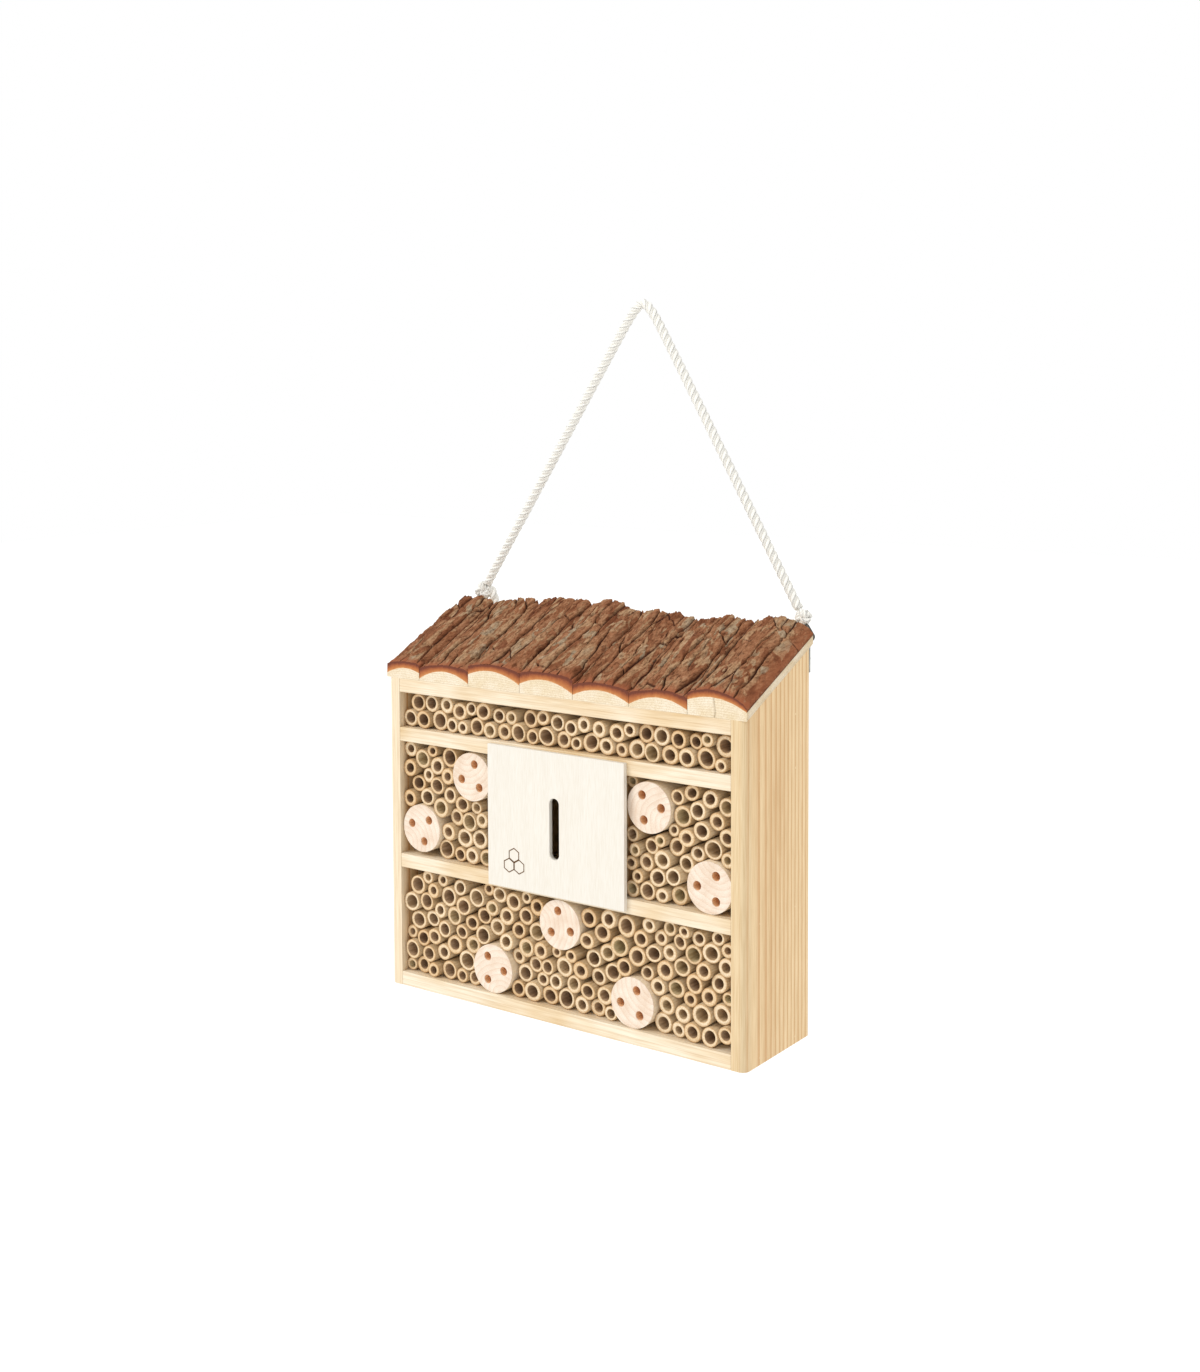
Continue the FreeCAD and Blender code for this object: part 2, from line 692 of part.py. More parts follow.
# hanger straps: a folded leaf screwed to the side board's back edge, rolled into a loop on top
def strap(label, side):
    inset = "(dims.width / 2 - dims.side_thickness + dims.strap_edge_gap + dims.strap_width / 2)"
    centre = "%g * %s" % (side, inset)
    low = centre + " - dims.strap_width / 2"
    bore = "(dims.ring_wire / 2 + dims.ring_clearance)"
    outer = "(dims.ring_wire / 2 + dims.ring_clearance + dims.loop_wall)"
    loop_y = "dims.depth + " + outer + " + dims.ring_clearance"
    loop_z = back_height_text + " + dims.loop_above_panel"
    leaf = solid(label + "_leaf", "Box", Length="dims.strap_width", Width="dims.strap_leaf",
                 Height="dims.strap_length", at_x=low, at_y="dims.depth",
                 at_z=loop_z + " - dims.strap_length")
    roll = solid(label + "_roll", "Cylinder", Radius=outer, Height="dims.strap_width",
                 at_x=low, at_y=loop_y, at_z=loop_z)
    hole = solid(label + "_bore", "Cylinder", Radius=bore, Height="dims.strap_width + 2",
                 at_x=low + " - 1", at_y=loop_y, at_z=loop_z)
    screw_hole = solid(label + "_screw_hole", "Cylinder", Radius="dims.screw_diameter / 2",
                       Height="dims.strap_leaf + 2", at_x=centre,
                       at_y="dims.depth + dims.strap_leaf + 1",
                       at_z=loop_z + " - dims.screw_below_loop")
    along_x = Rotation(Vector(0, 1, 0), 90)
    roll.Placement.Rotation = along_x
    hole.Placement.Rotation = along_x
    screw_hole.Placement.Rotation = Rotation(Vector(1, 0, 0), 90)
    folded = boolean("Fuse", label + "_folded", leaf, roll)
    open_loop = boolean("Cut", label + "_open_loop", folded, hole)
    keep(boolean("Cut", label, open_loop, screw_hole), label)


strap("hanger_strap_left", -1)
strap("hanger_strap_right", 1)


def ring_apex(side):
    across = side * (hanger_x - size("ring_lean_in"))
    return Vector(across, hook.y, bar_z + size("ring_height"))


def rounded_path(points, closed, radii=None):
    # straight runs joined by tangent arcs; an arc's radius is given, or else it is 0.45 of the
    # shorter run divided by the tangent of half the turn
    count = len(points)
    corners = range(count) if closed else range(1, count - 1)
    ends = {}
    arcs = {}
    for n in corners:
        before = points[n - 1] - points[n]
        after = points[(n + 1) % count] - points[n]
        turn = math.pi - before.getAngle(after)
        radius = 0.45 * min(before.Length, after.Length) / math.tan(turn / 2)
        if radii:
            radius = min(radius, radii)
        step = radius * math.tan(turn / 2)
        start = points[n] + before.normalize() * step
        finish = points[n] + after.normalize() * step
        inward = (before + after).normalize()
        middle = points[n] + inward * (radius / math.cos(turn / 2) - radius)
        arcs[n] = Part.Arc(start, middle, finish).toShape()
        ends[n] = (start, finish)
        print("  arc radius %.2f mm, turn %.1f degrees" % (radius, math.degrees(turn)))
    edges = []
    runs = range(count) if closed else range(count - 1)
    for n in runs:
        nxt = (n + 1) % count
        start = ends[n][1] if n in ends else points[n]
        finish = ends[nxt][0] if nxt in ends else points[nxt]
        edges.append(Part.LineSegment(start, finish).toShape())
        if nxt in arcs:
            edges.append(arcs[nxt])
    return Part.Wire(edges)


def tube_along(path, diameter):
    start = path.Edges[0].Vertexes[0].Point
    along = path.Edges[0].tangentAt(path.Edges[0].FirstParameter)
    section = Part.Wire(Part.makeCircle(diameter / 2, start, along))
    tube = path.makePipeShell([section], True, False)
    expected = math.pi * diameter ** 2 / 4 * path.Length
    print("  tube volume %.0f, section times length %.0f" % (tube.Volume, expected))
    if abs(tube.Volume / expected - 1) > 0.02:
        raise RuntimeError("a swept tube lost its volume")
    return tube


# triangle rings: round wire with its base bar in the strap's loop and its point up and back
def ring(label, side):
    centre = side * hanger_x
    reach = size("ring_width") / 2
    corners = [Vector(centre - reach, bar_y, bar_z), Vector(centre + reach, bar_y, bar_z),
               ring_apex(side)]
    print(label)
    path = rounded_path(corners, True, size("ring_corner"))
    coded(label, tube_along(path, size("ring_wire")))


ring("hanger_ring_left", -1)
ring("hanger_ring_right", 1)


# rope: one length, knotted to each ring and bent once over the hook
def knot_centre(side):
    apex = ring_apex(side)
    pull = (hook - apex).normalize()
    return apex + pull * size("knot_above_ring")


def rope():
    radius = size("knot_diameter") / 2
    spots = {side: knot_centre(side) for side in (-1, 1)}
    for side, label in ((-1, "knot_left"), (1, "knot_right")):
        coded(label, Part.makeSphere(radius, spots[side]))
    bend = Vector(size("hook_bend"), 0, 0)
    left_bend = hook - bend
    right_bend = hook + bend
    left_end = spots[-1] + (left_bend - spots[-1]).normalize() * (radius - 0.5)
    right_end = spots[1] + (right_bend - spots[1]).normalize() * (radius - 0.5)
    points = [left_end, left_bend, right_bend, right_end]
    print("rope points", [tuple(round(c, 2) for c in p - hook) for p in points])
    path = rounded_path(points, False)
    print("rope length %.1f mm" % path.Length)
    coded("rope", tube_along(path, size("rope_diameter")))


rope()

doc.recompute()
for item in doc.Objects:
    if "Invalid" in item.State or "Error" in item.State:
        raise RuntimeError("%s is %s" % (item.Label, item.State))
labels = [piece.Label for piece in pieces]
if len(set(labels)) != len(labels):
    raise RuntimeError("two pieces share a name")
for piece in pieces:
    if piece.Shape.isNull() or not piece.Shape.isValid():
        raise RuntimeError(piece.Label + " has no sound shape")

os.makedirs("parts", exist_ok=True)
for piece in pieces:
    piece.Shape.exportStep("parts/%s.step" % piece.Label)
print(len(pieces), "pieces written")
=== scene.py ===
import math
from functools import partial

import bpy
import numpy as np
from mathutils import Matrix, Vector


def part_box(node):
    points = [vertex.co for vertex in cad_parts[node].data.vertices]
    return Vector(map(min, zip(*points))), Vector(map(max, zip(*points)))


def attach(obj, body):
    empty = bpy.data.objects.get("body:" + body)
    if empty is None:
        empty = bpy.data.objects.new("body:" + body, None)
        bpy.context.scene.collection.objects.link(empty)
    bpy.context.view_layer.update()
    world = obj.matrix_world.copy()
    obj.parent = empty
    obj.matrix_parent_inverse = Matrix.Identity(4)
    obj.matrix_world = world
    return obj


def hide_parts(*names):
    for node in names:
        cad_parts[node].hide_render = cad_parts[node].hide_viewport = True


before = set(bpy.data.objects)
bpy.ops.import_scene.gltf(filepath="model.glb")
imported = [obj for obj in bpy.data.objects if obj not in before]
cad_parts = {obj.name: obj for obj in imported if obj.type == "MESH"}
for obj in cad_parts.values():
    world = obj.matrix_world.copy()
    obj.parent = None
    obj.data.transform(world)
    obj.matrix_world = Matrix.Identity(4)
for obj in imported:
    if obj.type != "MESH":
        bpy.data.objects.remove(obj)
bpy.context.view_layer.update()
print("frame loaded:", len(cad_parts), "nodes")

mm = 0.001               # in metres; a noise with the scale 1.5 / mm has 1.5 grains a mm

# places of the case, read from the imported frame
sideLow, sideHigh = (np.array(c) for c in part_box("right_side_board"))
plateLow = np.array(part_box("entrance_plate")[0])
slabNodes = sorted(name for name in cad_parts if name.startswith("roof_slab_"))
slabBoxes = [[np.array(c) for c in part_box(name)] for name in slabNodes]
frontY = sideLow[1]
depth = sideHigh[1] - frontY
baseZ = sideLow[2]
roofFrontZ = slabBoxes[0][0][2]                            # underside of the slabs at the front
slope = math.atan2(sideHigh[2] - roofFrontZ, depth)        # the roof's climb from front to back


def camelName(first, words):
    # the first word and then the others, each with a capital
    return first + words.title().replace("_", "")


def linear(hexText):
    # sRGB hex to the linear colour that shaders take
    rgb = [int(hexText[i:i + 2], 16) / 255 for i in (1, 3, 5)]
    return tuple(c / 12.92 if c <= 0.04045 else ((c + 0.055) / 1.055) ** 2.4 for c in rgb) + (1.0,)


darken = {"data_type": "RGBA", "blend_type": "MULTIPLY"}   # mixes by multiplying two colours


def addNode(tree, kind, inputs=(), stops=(), into=None, **settings):
    # a shader node with its settings, its colour stops, and its inputs in order or by name: each is
    # a value, a hex colour, or the node or socket that feeds it. Its first output may go into one
    node = tree.nodes.new("ShaderNode" + kind)
    for key, value in settings.items():
        setattr(node, key, value)
    if stops:
        ramp = node.color_ramp.elements
        ramp[0].position, ramp[0].color = stops[0][0], linear(stops[0][1])
        ramp[1].position, ramp[1].color = stops[-1][0], linear(stops[-1][1])
        for place, colour in stops[1:-1]:
            ramp.new(place).color = linear(colour)
    sockets = [socket for socket in node.inputs if socket.enabled]
    named = inputs.items() if isinstance(inputs, dict) else zip(sockets, inputs)
    for key, value in named:
        socket = node.inputs[key] if isinstance(key, str) else key
        if isinstance(value, bpy.types.Node):
            value = next(out for out in value.outputs if out.enabled)
        if isinstance(value, bpy.types.NodeSocket):
            tree.links.new(value, socket)
        elif value is not None:
            socket.default_value = linear(value) if isinstance(value, str) else value
    if into is not None:
        tree.links.new(next(out for out in node.outputs if out.enabled), into)
    return node


def newMaterial(name, roughness, gloss=0.3, **sockets):
    # a Principled material whose even values sit on the shader's own sockets; also returns what
    # adds a node to it, its colour and normal sockets, and each point's place in its own metres
    material = bpy.data.materials.new(name)
    material.use_nodes = True
    shader = material.node_tree.nodes["Principled BSDF"]
    shader.inputs["Roughness"].default_value = roughness
    if not sockets.get("Metallic"):
        shader.inputs["Specular IOR Level"].default_value = gloss
    for key, value in sockets.items():
        shader.inputs[key.replace("_", " ")].default_value = value
    add = partial(addNode, material.node_tree)
    place = add("TexCoord").outputs["Object"]
    return material, add, shader.inputs["Base Color"], shader.inputs["Normal"], place


def latticeValue(ix, iy, seed):
    # a repeatable number from 0 to 1 for each whole-number lattice point, by integer mixing
    h = (ix.astype(np.int64) * 374761393 + iy.astype(np.int64) * 668265263 + seed * 1442695041)
    h = h & 0xFFFFFFFF
    h = ((h ^ (h >> 13)) * 1274126177) & 0xFFFFFFFF
    return ((h ^ (h >> 16)) & 0xFFFFFF) / float(0xFFFFFF)


def softNoise(x, y, seed):
    # lattice values blended by the smooth cubic 3t^2 - 2t^3, from -1 to 1
    ix, iy = np.floor(x), np.floor(y)
    fx, fy = x - ix, y - iy
    sx, sy = fx * fx * (3 - 2 * fx), fy * fy * (3 - 2 * fy)
    low = latticeValue(ix, iy, seed) * (1 - sx) + latticeValue(ix + 1, iy, seed) * sx
    high = latticeValue(ix, iy + 1, seed) * (1 - sx) + latticeValue(ix + 1, iy + 1, seed) * sx
    return (low * (1 - sy) + high * sy) * 2 - 1


def layeredNoise(x, y, seed, layers=4):
    # each layer is twice as fine and half as strong as the one before
    total = np.zeros_like(x)
    for n in range(layers):
        total = total + softNoise(x * 2 ** n, y * 2 ** n, seed + 17 * n) / 2 ** n
    return total / 2


def cells(x, y, seed):
    # cells round scattered points: the second nearest point's distance less the nearest's, which is
    # 0 on a cell's edge; the cell's own random number; and how far along y its point is
    ix, iy = np.floor(x), np.floor(y)
    first = np.full(x.shape, 9.0)
    second = np.full(x.shape, 9.0)
    own = np.zeros(x.shape)
    along = np.zeros(x.shape)
    for dx in (-1, 0, 1):
        for dy in (-1, 0, 1):
            cx, cy = ix + dx, iy + dy
            px = cx + 0.15 + 0.7 * latticeValue(cx, cy, seed)
            py = cy + 0.1 + 0.8 * latticeValue(cx, cy, seed + 5)
            away = np.sqrt((px - x) ** 2 + (py - y) ** 2)
            nearer = away < first
            second = np.where(nearer, first, np.minimum(second, away))
            own = np.where(nearer, latticeValue(cx, cy, seed + 9), own)
            along = np.where(nearer, y - py, along)
            first = np.where(nearer, away, first)
    return second - first, own, along


def smoothStep(low, high, x):
    # 0 below low, 1 above high, and the cubic 3t^2 - 2t^3 between
    t = np.clip((x - low) / (high - low), 0, 1)
    return t * t * (3 - 2 * t)


def gridQuads(rows, columns, closeRows=False, closeColumns=False):
    # quads between neighbouring rows and columns of grid points that are numbered row by row
    r = np.arange(rows if closeRows else rows - 1)
    c = np.arange(columns if closeColumns else columns - 1)
    r, c = np.meshgrid(r, c, indexing="ij")
    r2, c2 = (r + 1) % rows, (c + 1) % columns
    return np.stack([r * columns + c, r * columns + c2, r2 * columns + c2, r2 * columns + c],
                    axis=-1).reshape(-1, 4)


def newPiece(name, points, quads, materials, body=None, triangles=(),
             faceMaterial=None, values=None, smooth=True):
    # points in metres; quads and triangles are rows of point numbers; values are named numbers,
    # one a point, for the materials to read
    quads = np.asarray(quads, dtype=np.int32).reshape(-1, 4)
    triangles = np.asarray(triangles, dtype=np.int32).reshape(-1, 3)
    corners = np.concatenate([quads.ravel(), triangles.ravel()])
    starts = np.concatenate([np.arange(len(quads)) * 4,
                             len(quads) * 4 + np.arange(len(triangles)) * 3]).astype(np.int32)
    mesh = bpy.data.meshes.new(name)
    mesh.vertices.add(len(points))
    mesh.vertices.foreach_set("co", np.asarray(points, dtype=np.float32).ravel())
    mesh.loops.add(len(corners))
    mesh.loops.foreach_set("vertex_index", corners)
    mesh.polygons.add(len(starts))
    mesh.polygons.foreach_set("loop_start", starts)
    mesh.polygons.foreach_set("use_smooth", np.full(len(starts), smooth))
    for material in materials:
        mesh.materials.append(material)
    if faceMaterial is not None:
        mesh.polygons.foreach_set("material_index", np.asarray(faceMaterial, dtype=np.int32))
    for key, numbers in (values or {}).items():
        layer = mesh.attributes.new(key, "FLOAT", "POINT")
        layer.data.foreach_set("value", np.asarray(numbers, dtype=np.float32).ravel())
    mesh.update(calc_edges=True)
    mesh.validate()
    piece = bpy.data.objects.new(name, mesh)
    bpy.context.scene.collection.objects.link(piece)
    if body:
        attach(piece, body)
    return piece


def facing(place, back):
    # the matrix of an object at a place whose local Z points along back, with its X level
    back = np.array(back, float) / np.linalg.norm(back)
    right = np.cross((0, 0, 1), back)
    right /= np.linalg.norm(right)
    up = np.cross(back, right)
    turn = Matrix([[right[i], up[i], back[i]] for i in range(3)]).to_4x4()
    return Matrix.Translation([float(c) for c in place]) @ turn


cameraSettings = {
    "place": (0.7023, -1.0274, -0.0555),  # metres from the hanging point
    "azimuth": 35.7777,                   # degrees round from straight in front
    "elevation": 3.4816,                  # degrees above level
    "roll": -0.2498,
    "lens": 46.21,                        # mm, on a sensor 36 mm high
    "shiftY": -0.1429,                    # the hotel's rope rises far above the lens axis
}


def makeCamera():
    # the camera's back is (sin a cos e, -cos a cos e, sin e) for azimuth a and elevation e, and the
    # roll turns it about that line
    a, e = (math.radians(cameraSettings[key]) for key in ("azimuth", "elevation"))
    back = (math.sin(a) * math.cos(e), -math.cos(a) * math.cos(e), math.sin(e))
    data = bpy.data.cameras.new("camera")
    data.sensor_width = 36
    data.lens = cameraSettings["lens"]
    data.shift_y = cameraSettings["shiftY"]
    data.clip_end = 50
    camera = bpy.data.objects.new("camera", data)
    roll = Matrix.Rotation(math.radians(cameraSettings["roll"]), 4, "Z")
    camera.matrix_world = facing(cameraSettings["place"], back) @ roll
    bpy.context.scene.collection.objects.link(camera)
    bpy.context.scene.camera = camera


makeCamera()

# the rope's route from the left knot over the hook to the right knot, in metres
ropeRoute = [
    (-0.1441, 0, -0.20756),
    (-0.0261, 0, -0.0309),
    (-0.0047, 0, 0),
    (0.0047, 0, 0),
    (0.0249, 0, -0.0336),
    (0.12561, 0, -0.20724),
]
ropeSettings = {
    "strandRadius": 1.85 * mm,
    "strandOffset": 1.62 * mm,
    "pitch": 17 * mm,        # length of one full twist of the three strands
    "step": 1.1 * mm,        # distance between the rings of points along a strand
    "around": 12,            # points round a strand
    "yarns": 9,              # round a strand, each leaning one yarn's width in 1 mm
    "endSize": 0.35,         # of a strand's first and last ring
}
knotSettings = {
    "strandRadius": 1.5 * mm,
    "strandOffset": 1.3 * mm,
    "pitch": 14 * mm,
    "step": 0.9 * mm,
    "around": 10,
    "endSize": 0.35,
    "ring": 3.2 * mm,        # radius of the knotted loop's own path
    "fold": 1.7 * mm,        # how far that path weaves in and out
    "depth": 1.15,           # of the weave along y, as a share of the fold
    "steps": 260,            # points along the path
    "tailFray": 0.5,         # how far the tail's strands spread at its end
}


def splineLine(name, route):
    # points read from a NURBS spline that has the route's points as its control points
    data = bpy.data.curves.new(name, "CURVE")
    data.dimensions = "3D"
    data.resolution_u = 24
    spline = data.splines.new("NURBS")
    spline.points.add(len(route) - 1)
    for point, place in zip(spline.points, route):
        point.co = (*place, 1)
    spline.order_u = 3
    spline.use_endpoint_u = True
    holder = bpy.data.objects.new(name, data)
    bpy.context.scene.collection.objects.link(holder)
    mesh = bpy.data.meshes.new_from_object(holder)
    points = np.empty(len(mesh.vertices) * 3)
    mesh.vertices.foreach_get("co", points)
    bpy.data.objects.remove(holder)
    bpy.data.curves.remove(data)
    bpy.data.meshes.remove(mesh)
    return points.reshape(-1, 3)


def lineLength(line):
    # the sum of the distances between neighbouring points
    return float(np.sum(np.linalg.norm(np.diff(line, axis=0), axis=1)))


def strands(line, settings, side, fray=0.0):
    # three strands wound round a line: each strand's centre is the line's point plus an offset that
    # turns once a pitch, and each strand is a circle carried along its centre. Frayed strands
    # spread towards the line's far end
    along = np.concatenate([[0], np.cumsum(np.linalg.norm(np.diff(line, axis=0), axis=1))])
    places = np.linspace(0, along[-1], max(4, int(along[-1] / settings["step"]) + 1))
    line = np.stack([np.interp(places, along, line[:, k]) for k in range(3)], axis=1)
    along = places
    tangent = np.gradient(line, axis=0)
    tangent /= np.linalg.norm(tangent, axis=1)[:, None]
    side = np.broadcast_to(np.asarray(side(line) if callable(side) else side, float), line.shape)
    first = side - np.sum(side * tangent, axis=1)[:, None] * tangent
    first /= np.linalg.norm(first, axis=1)[:, None]
    second = np.cross(tangent, first)
    rows, around = len(line), settings["around"]
    ringAngle = np.arange(around) * 2 * math.pi / around
    spread = 1 + fray * smoothStep(0.5, 1.0, along / along[-1])
    endSize = np.ones(rows)
    endSize[[0, -1]] = settings["endSize"]
    k = np.arange(around)
    points, quads, tips, turn, length = [], [], [], [], []
    for strand in range(3):
        total = strand * (rows * around + 2)
        angle = strand * 2 * math.pi / 3 + along * 2 * math.pi / settings["pitch"]
        offset = np.cos(angle)[:, None] * first + np.sin(angle)[:, None] * second
        centre = line + offset * (settings["strandOffset"] * spread)[:, None]
        direction = np.gradient(centre, axis=0)
        direction /= np.linalg.norm(direction, axis=1)[:, None]
        out = offset - np.sum(offset * direction, axis=1)[:, None] * direction
        out /= np.linalg.norm(out, axis=1)[:, None]
        across = np.cross(direction, out)
        ring = (np.cos(ringAngle)[None, :, None] * out[:, None, :]
                + np.sin(ringAngle)[None, :, None] * across[:, None, :])
        ring = centre[:, None, :] + ring * (settings["strandRadius"] * endSize)[:, None, None]
        points += [ring.reshape(-1, 3), centre[[0, -1]]]
        quads.append(gridQuads(rows, around, closeColumns=True) + total)
        startTip, last = total + rows * around, total + (rows - 1) * around
        tips.append(np.stack([np.full(around, startTip), total + (k + 1) % around, total + k],
                             axis=1))
        tips.append(np.stack([np.full(around, startTip + 1), last + k, last + (k + 1) % around],
                             axis=1))
        turn += [np.tile(k / around, rows), [0, 0]]
        length += [np.repeat(along / mm, around), [0, along[-1] / mm]]
    return (np.concatenate(points), np.concatenate(quads), np.concatenate(tips),
            {"yarnTurn": np.concatenate(turn), "yarnAlong": np.concatenate(length)})


def cottonMaterial():
    # twisted cotton cord: soft, off-white and matt, with fine yarns that lean round each strand and
    # painted shade in the grooves between them
    material, add, baseColour, normal, place = newMaterial("twistedCottonCord", 0.95, 0.15,
                                                           Sheen_Weight=0.3)
    turn = add("Attribute", attribute_name="yarnTurn").outputs["Fac"]
    along = add("Attribute", attribute_name="yarnAlong").outputs["Fac"]
    yarns = add("Math", [turn, ropeSettings["yarns"], along], operation="MULTIPLY_ADD")
    wave = add("Math", [add("Math", [yarns, math.pi], operation="MULTIPLY")], operation="SINE")
    ridge = add("Math", [wave], operation="ABSOLUTE")
    fuzz = add("TexNoise", {"Vector": place, "Scale": 1.6 / mm, "Detail": 4.0})
    # painted shade: the colour darkens in the grooves between the yarns, with a random fuzz on top
    shade = add("Math", [fuzz, 0.6, add("Math", [ridge, 0.4], operation="MULTIPLY")],
                operation="MULTIPLY_ADD")
    add("ValToRGB", [shade], [(0.1, "#d6d0c2"), (0.4, "#eeebe2"), (0.75, "#f6f4ee")],
        into=baseColour)
    height = add("Math", [fuzz, 0.35, ridge], operation="MULTIPLY_ADD")
    add("Bump", {"Height": height, "Distance": 0.22 * mm, "Strength": 0.8}, into=normal)
    return material


cotton = cottonMaterial()


def makeRope():
    # the three strands wound round the spline of the rope's route
    line = splineLine("ropeLine", ropeRoute)
    points, quads, tips, values = strands(line, ropeSettings, (0, 1, 0))
    rope = newPiece("ropeStrands", points, quads, [cotton], "hanger",
                    triangles=tips, values=values)
    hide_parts("rope")
    return rope, line


def makeKnot(name, node, tailRoute, share=1.0):
    # a pulled-tight overhand knot, share of full size, as a trefoil: with angle t its path goes
    # twice round, at radius ring + fold cos 3t, and three times in and out as fold sin 3t; a short
    # cut tail leaves it
    low, high = (np.array(c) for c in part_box(node))
    centre = (low + high) / 2
    t = np.linspace(0, 2 * math.pi, knotSettings["steps"])
    fold = knotSettings["fold"] * share
    reach = knotSettings["ring"] * share + fold * np.cos(3 * t)
    line = centre + np.stack([reach * np.cos(2 * t), fold * knotSettings["depth"] * np.sin(3 * t),
                              reach * np.sin(2 * t)], axis=1)
    ball = strands(line, knotSettings, lambda p: p - centre + np.array([0, 1e-5, 0]))
    tailLine = splineLine(name + "Line", [tuple(centre + np.array(p) * mm) for p in tailRoute])
    tail = strands(tailLine, ropeSettings, (0, 1, 0), fray=knotSettings["tailFray"])
    shift = len(ball[0])
    knot = newPiece(name, np.concatenate([ball[0], tail[0]]),
                    np.concatenate([ball[1], tail[1] + shift]), [cotton], "hanger",
                    triangles=np.concatenate([ball[2], tail[2] + shift]),
                    values={key: np.concatenate([ball[3][key], tail[3][key]]) for key in ball[3]})
    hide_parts(node)
    return knot


ropePiece, ropeLine = makeRope()
knotPieces = [
    makeKnot("knotLeft", "knot_left", [(-1, 1, 1), (4, 2.5, 3), (8.5, 2.5, -3), (9.5, 2, -12)]),
    makeKnot("knotRight", "knot_right", [(1, 1, 1), (-3, 2.5, -2), (-6, 2.5, -9), (-5, 2, -14)],
             0.8),
]
print("rope made, %.1f mm" % (lineLength(ropeLine) / mm))

boardSettings = {
    "plainEdge": 9 * mm,                     # of sapwood behind the case's front
    "level": {"gap": 3.4, "streak": 0.3},    # mm between growth rings, and how strong they show
    "upright": {"gap": 4.2, "streak": 1.0},
    "levelEasing": 0.6,                      # mm
    "sideEasing": 1.2,
    "dividerEasing": 0.5,
}
# mm from a level board's front lower edge back and up to the log's heart
levelHearts = {"bottom_board": (21, -38), "lower_shelf": (50, 45), "upper_shelf": (16, 52),
               "top_board": (38, -47), "rear_rail": (33, 40)}
# mm from an upright board's middle across, and from the case's front back
uprightHearts = {"left_side_board": (32, -2), "right_side_board": (-32, -2),
                 "left_divider": (-50, 30), "right_divider": (50, 30)}
pineTones = {"front": "#ece0cb", "light": "#ecdfc8", "dark": "#ddc39a", "line": "#cda675"}
leftTones = {"front": "#e8d8bc", "light": "#ebd0a4", "dark": "#dfbf91", "line": "#c58e56"}
rightTones = {"front": "#dcc59e", "light": "#ebd0a4", "dark": "#dfbf91", "line": "#c58e56"}


def ringScale(gap):
    # the wave texture's scale for rings gap mm apart: it draws 20 scale / 2 pi rings to a metre
    return 2 * math.pi / (20 * gap * mm)


def pineMaterial(name, grain, tones, heart, gap, streak, edgeY):
    # planed softwood, cream and matt: growth rings gap mm apart round a heart that lies off the
    # board, so that a face shows lines along the grain that crowd together away from the heart,
    # each darkening slowly to a sharp late-wood edge; fine fibres run along the grain. A plain edge
    # of sapwood lies behind edgeY
    material, add, baseColour, normal, place = newMaterial(name, 0.62)
    alongGrain = {"X": (0.03, 1, 1), "Z": (1, 1, 0.03)}[grain]
    centred = add("Mapping", {"Vector": place, "Location": [-h * mm for h in heart]})
    slow = add("Mapping", {"Vector": centred, "Scale": alongGrain})
    rings = add("TexWave", {"Vector": slow, "Scale": ringScale(gap), "Distortion": 2.2,
                            "Detail": 2.0, "Detail Scale": 0.4},
                wave_type="RINGS", rings_direction=grain, wave_profile="SAW")
    late = add("Math", [rings.outputs["Fac"], 4.5], operation="POWER")
    patchy = add("Mapping", {"Vector": place, "Scale": {"X": (0.4, 1, 1),
                                                                 "Z": (1, 1, 0.12)}[grain]})
    broad = add("TexNoise", {"Vector": patchy, "Scale": 0.04 / mm, "Detail": 2.0})
    fibre = add("TexNoise", {"Vector": slow, "Scale": 1.4 / mm, "Detail": 3.0})
    base = add("ValToRGB", [broad], [(0.42, tones["light"]), (0.68, tones["dark"])])
    back = add("SeparateXYZ", [place]).outputs["Y"]
    inside = add("MapRange", {"Value": back, "From Min": edgeY + 1 * mm,
                              "From Max": edgeY + boardSettings["plainEdge"]})
    base = add("Mix", [inside, tones["front"], base], data_type="RGBA")
    inner = add("MapRange", {"Value": inside, "To Min": 0.25 * streak, "To Max": streak})
    strength = add("Math", [late, inner], operation="MULTIPLY")
    lined = add("Mix", [strength, base, tones["line"]], data_type="RGBA")
    grainShade = add("ValToRGB", [fibre], [(0.3, "#e6dccd"), (0.62, "#ffffff")])
    add("Mix", [0.7, lined, grainShade], **darken, into=baseColour)
    height = add("Math", [fibre, 0.6, late], operation="MULTIPLY_ADD")
    add("Bump", {"Height": height, "Distance": 0.1 * mm, "Strength": 0.6}, into=normal)
    return material


def plyMaterial(name, light, dark):
    # thin sanded plywood: nearly white, smooth, with a faint upright figure
    material, add, baseColour, normal, place = newMaterial(name, 0.5)
    upright = add("Mapping", {"Vector": place, "Scale": (1, 1, 0.07)})
    figure = add("TexNoise", {"Vector": upright, "Scale": 0.13 / mm, "Detail": 4.0,
                              "Distortion": 0.4})
    fibre = add("TexNoise", {"Vector": upright, "Scale": 1.5 / mm, "Detail": 2.0})
    base = add("ValToRGB", [figure], [(0.3, light), (0.75, dark)])
    fine = add("ValToRGB", [fibre], [(0.3, "#f2ede5"), (0.62, "#ffffff")])
    add("Mix", [0.5, base, fine], **darken, into=baseColour)
    add("Bump", {"Height": fibre, "Distance": 0.05 * mm, "Strength": 0.6}, into=normal)
    return material


billetSettings = {
    "heartOff": 20 * mm,     # from a billet's middle to the heart of its log
    "gap": 4,                # mm between growth rings
    "skin": 1.2 * mm,        # thickness counted as the billet's outside
    "face": 0.6 * mm,        # depth counted as its sawn face
    "turn": 1.9,             # radians between the hearts' directions from billet to billet
    "easing": 0.35,          # mm
}


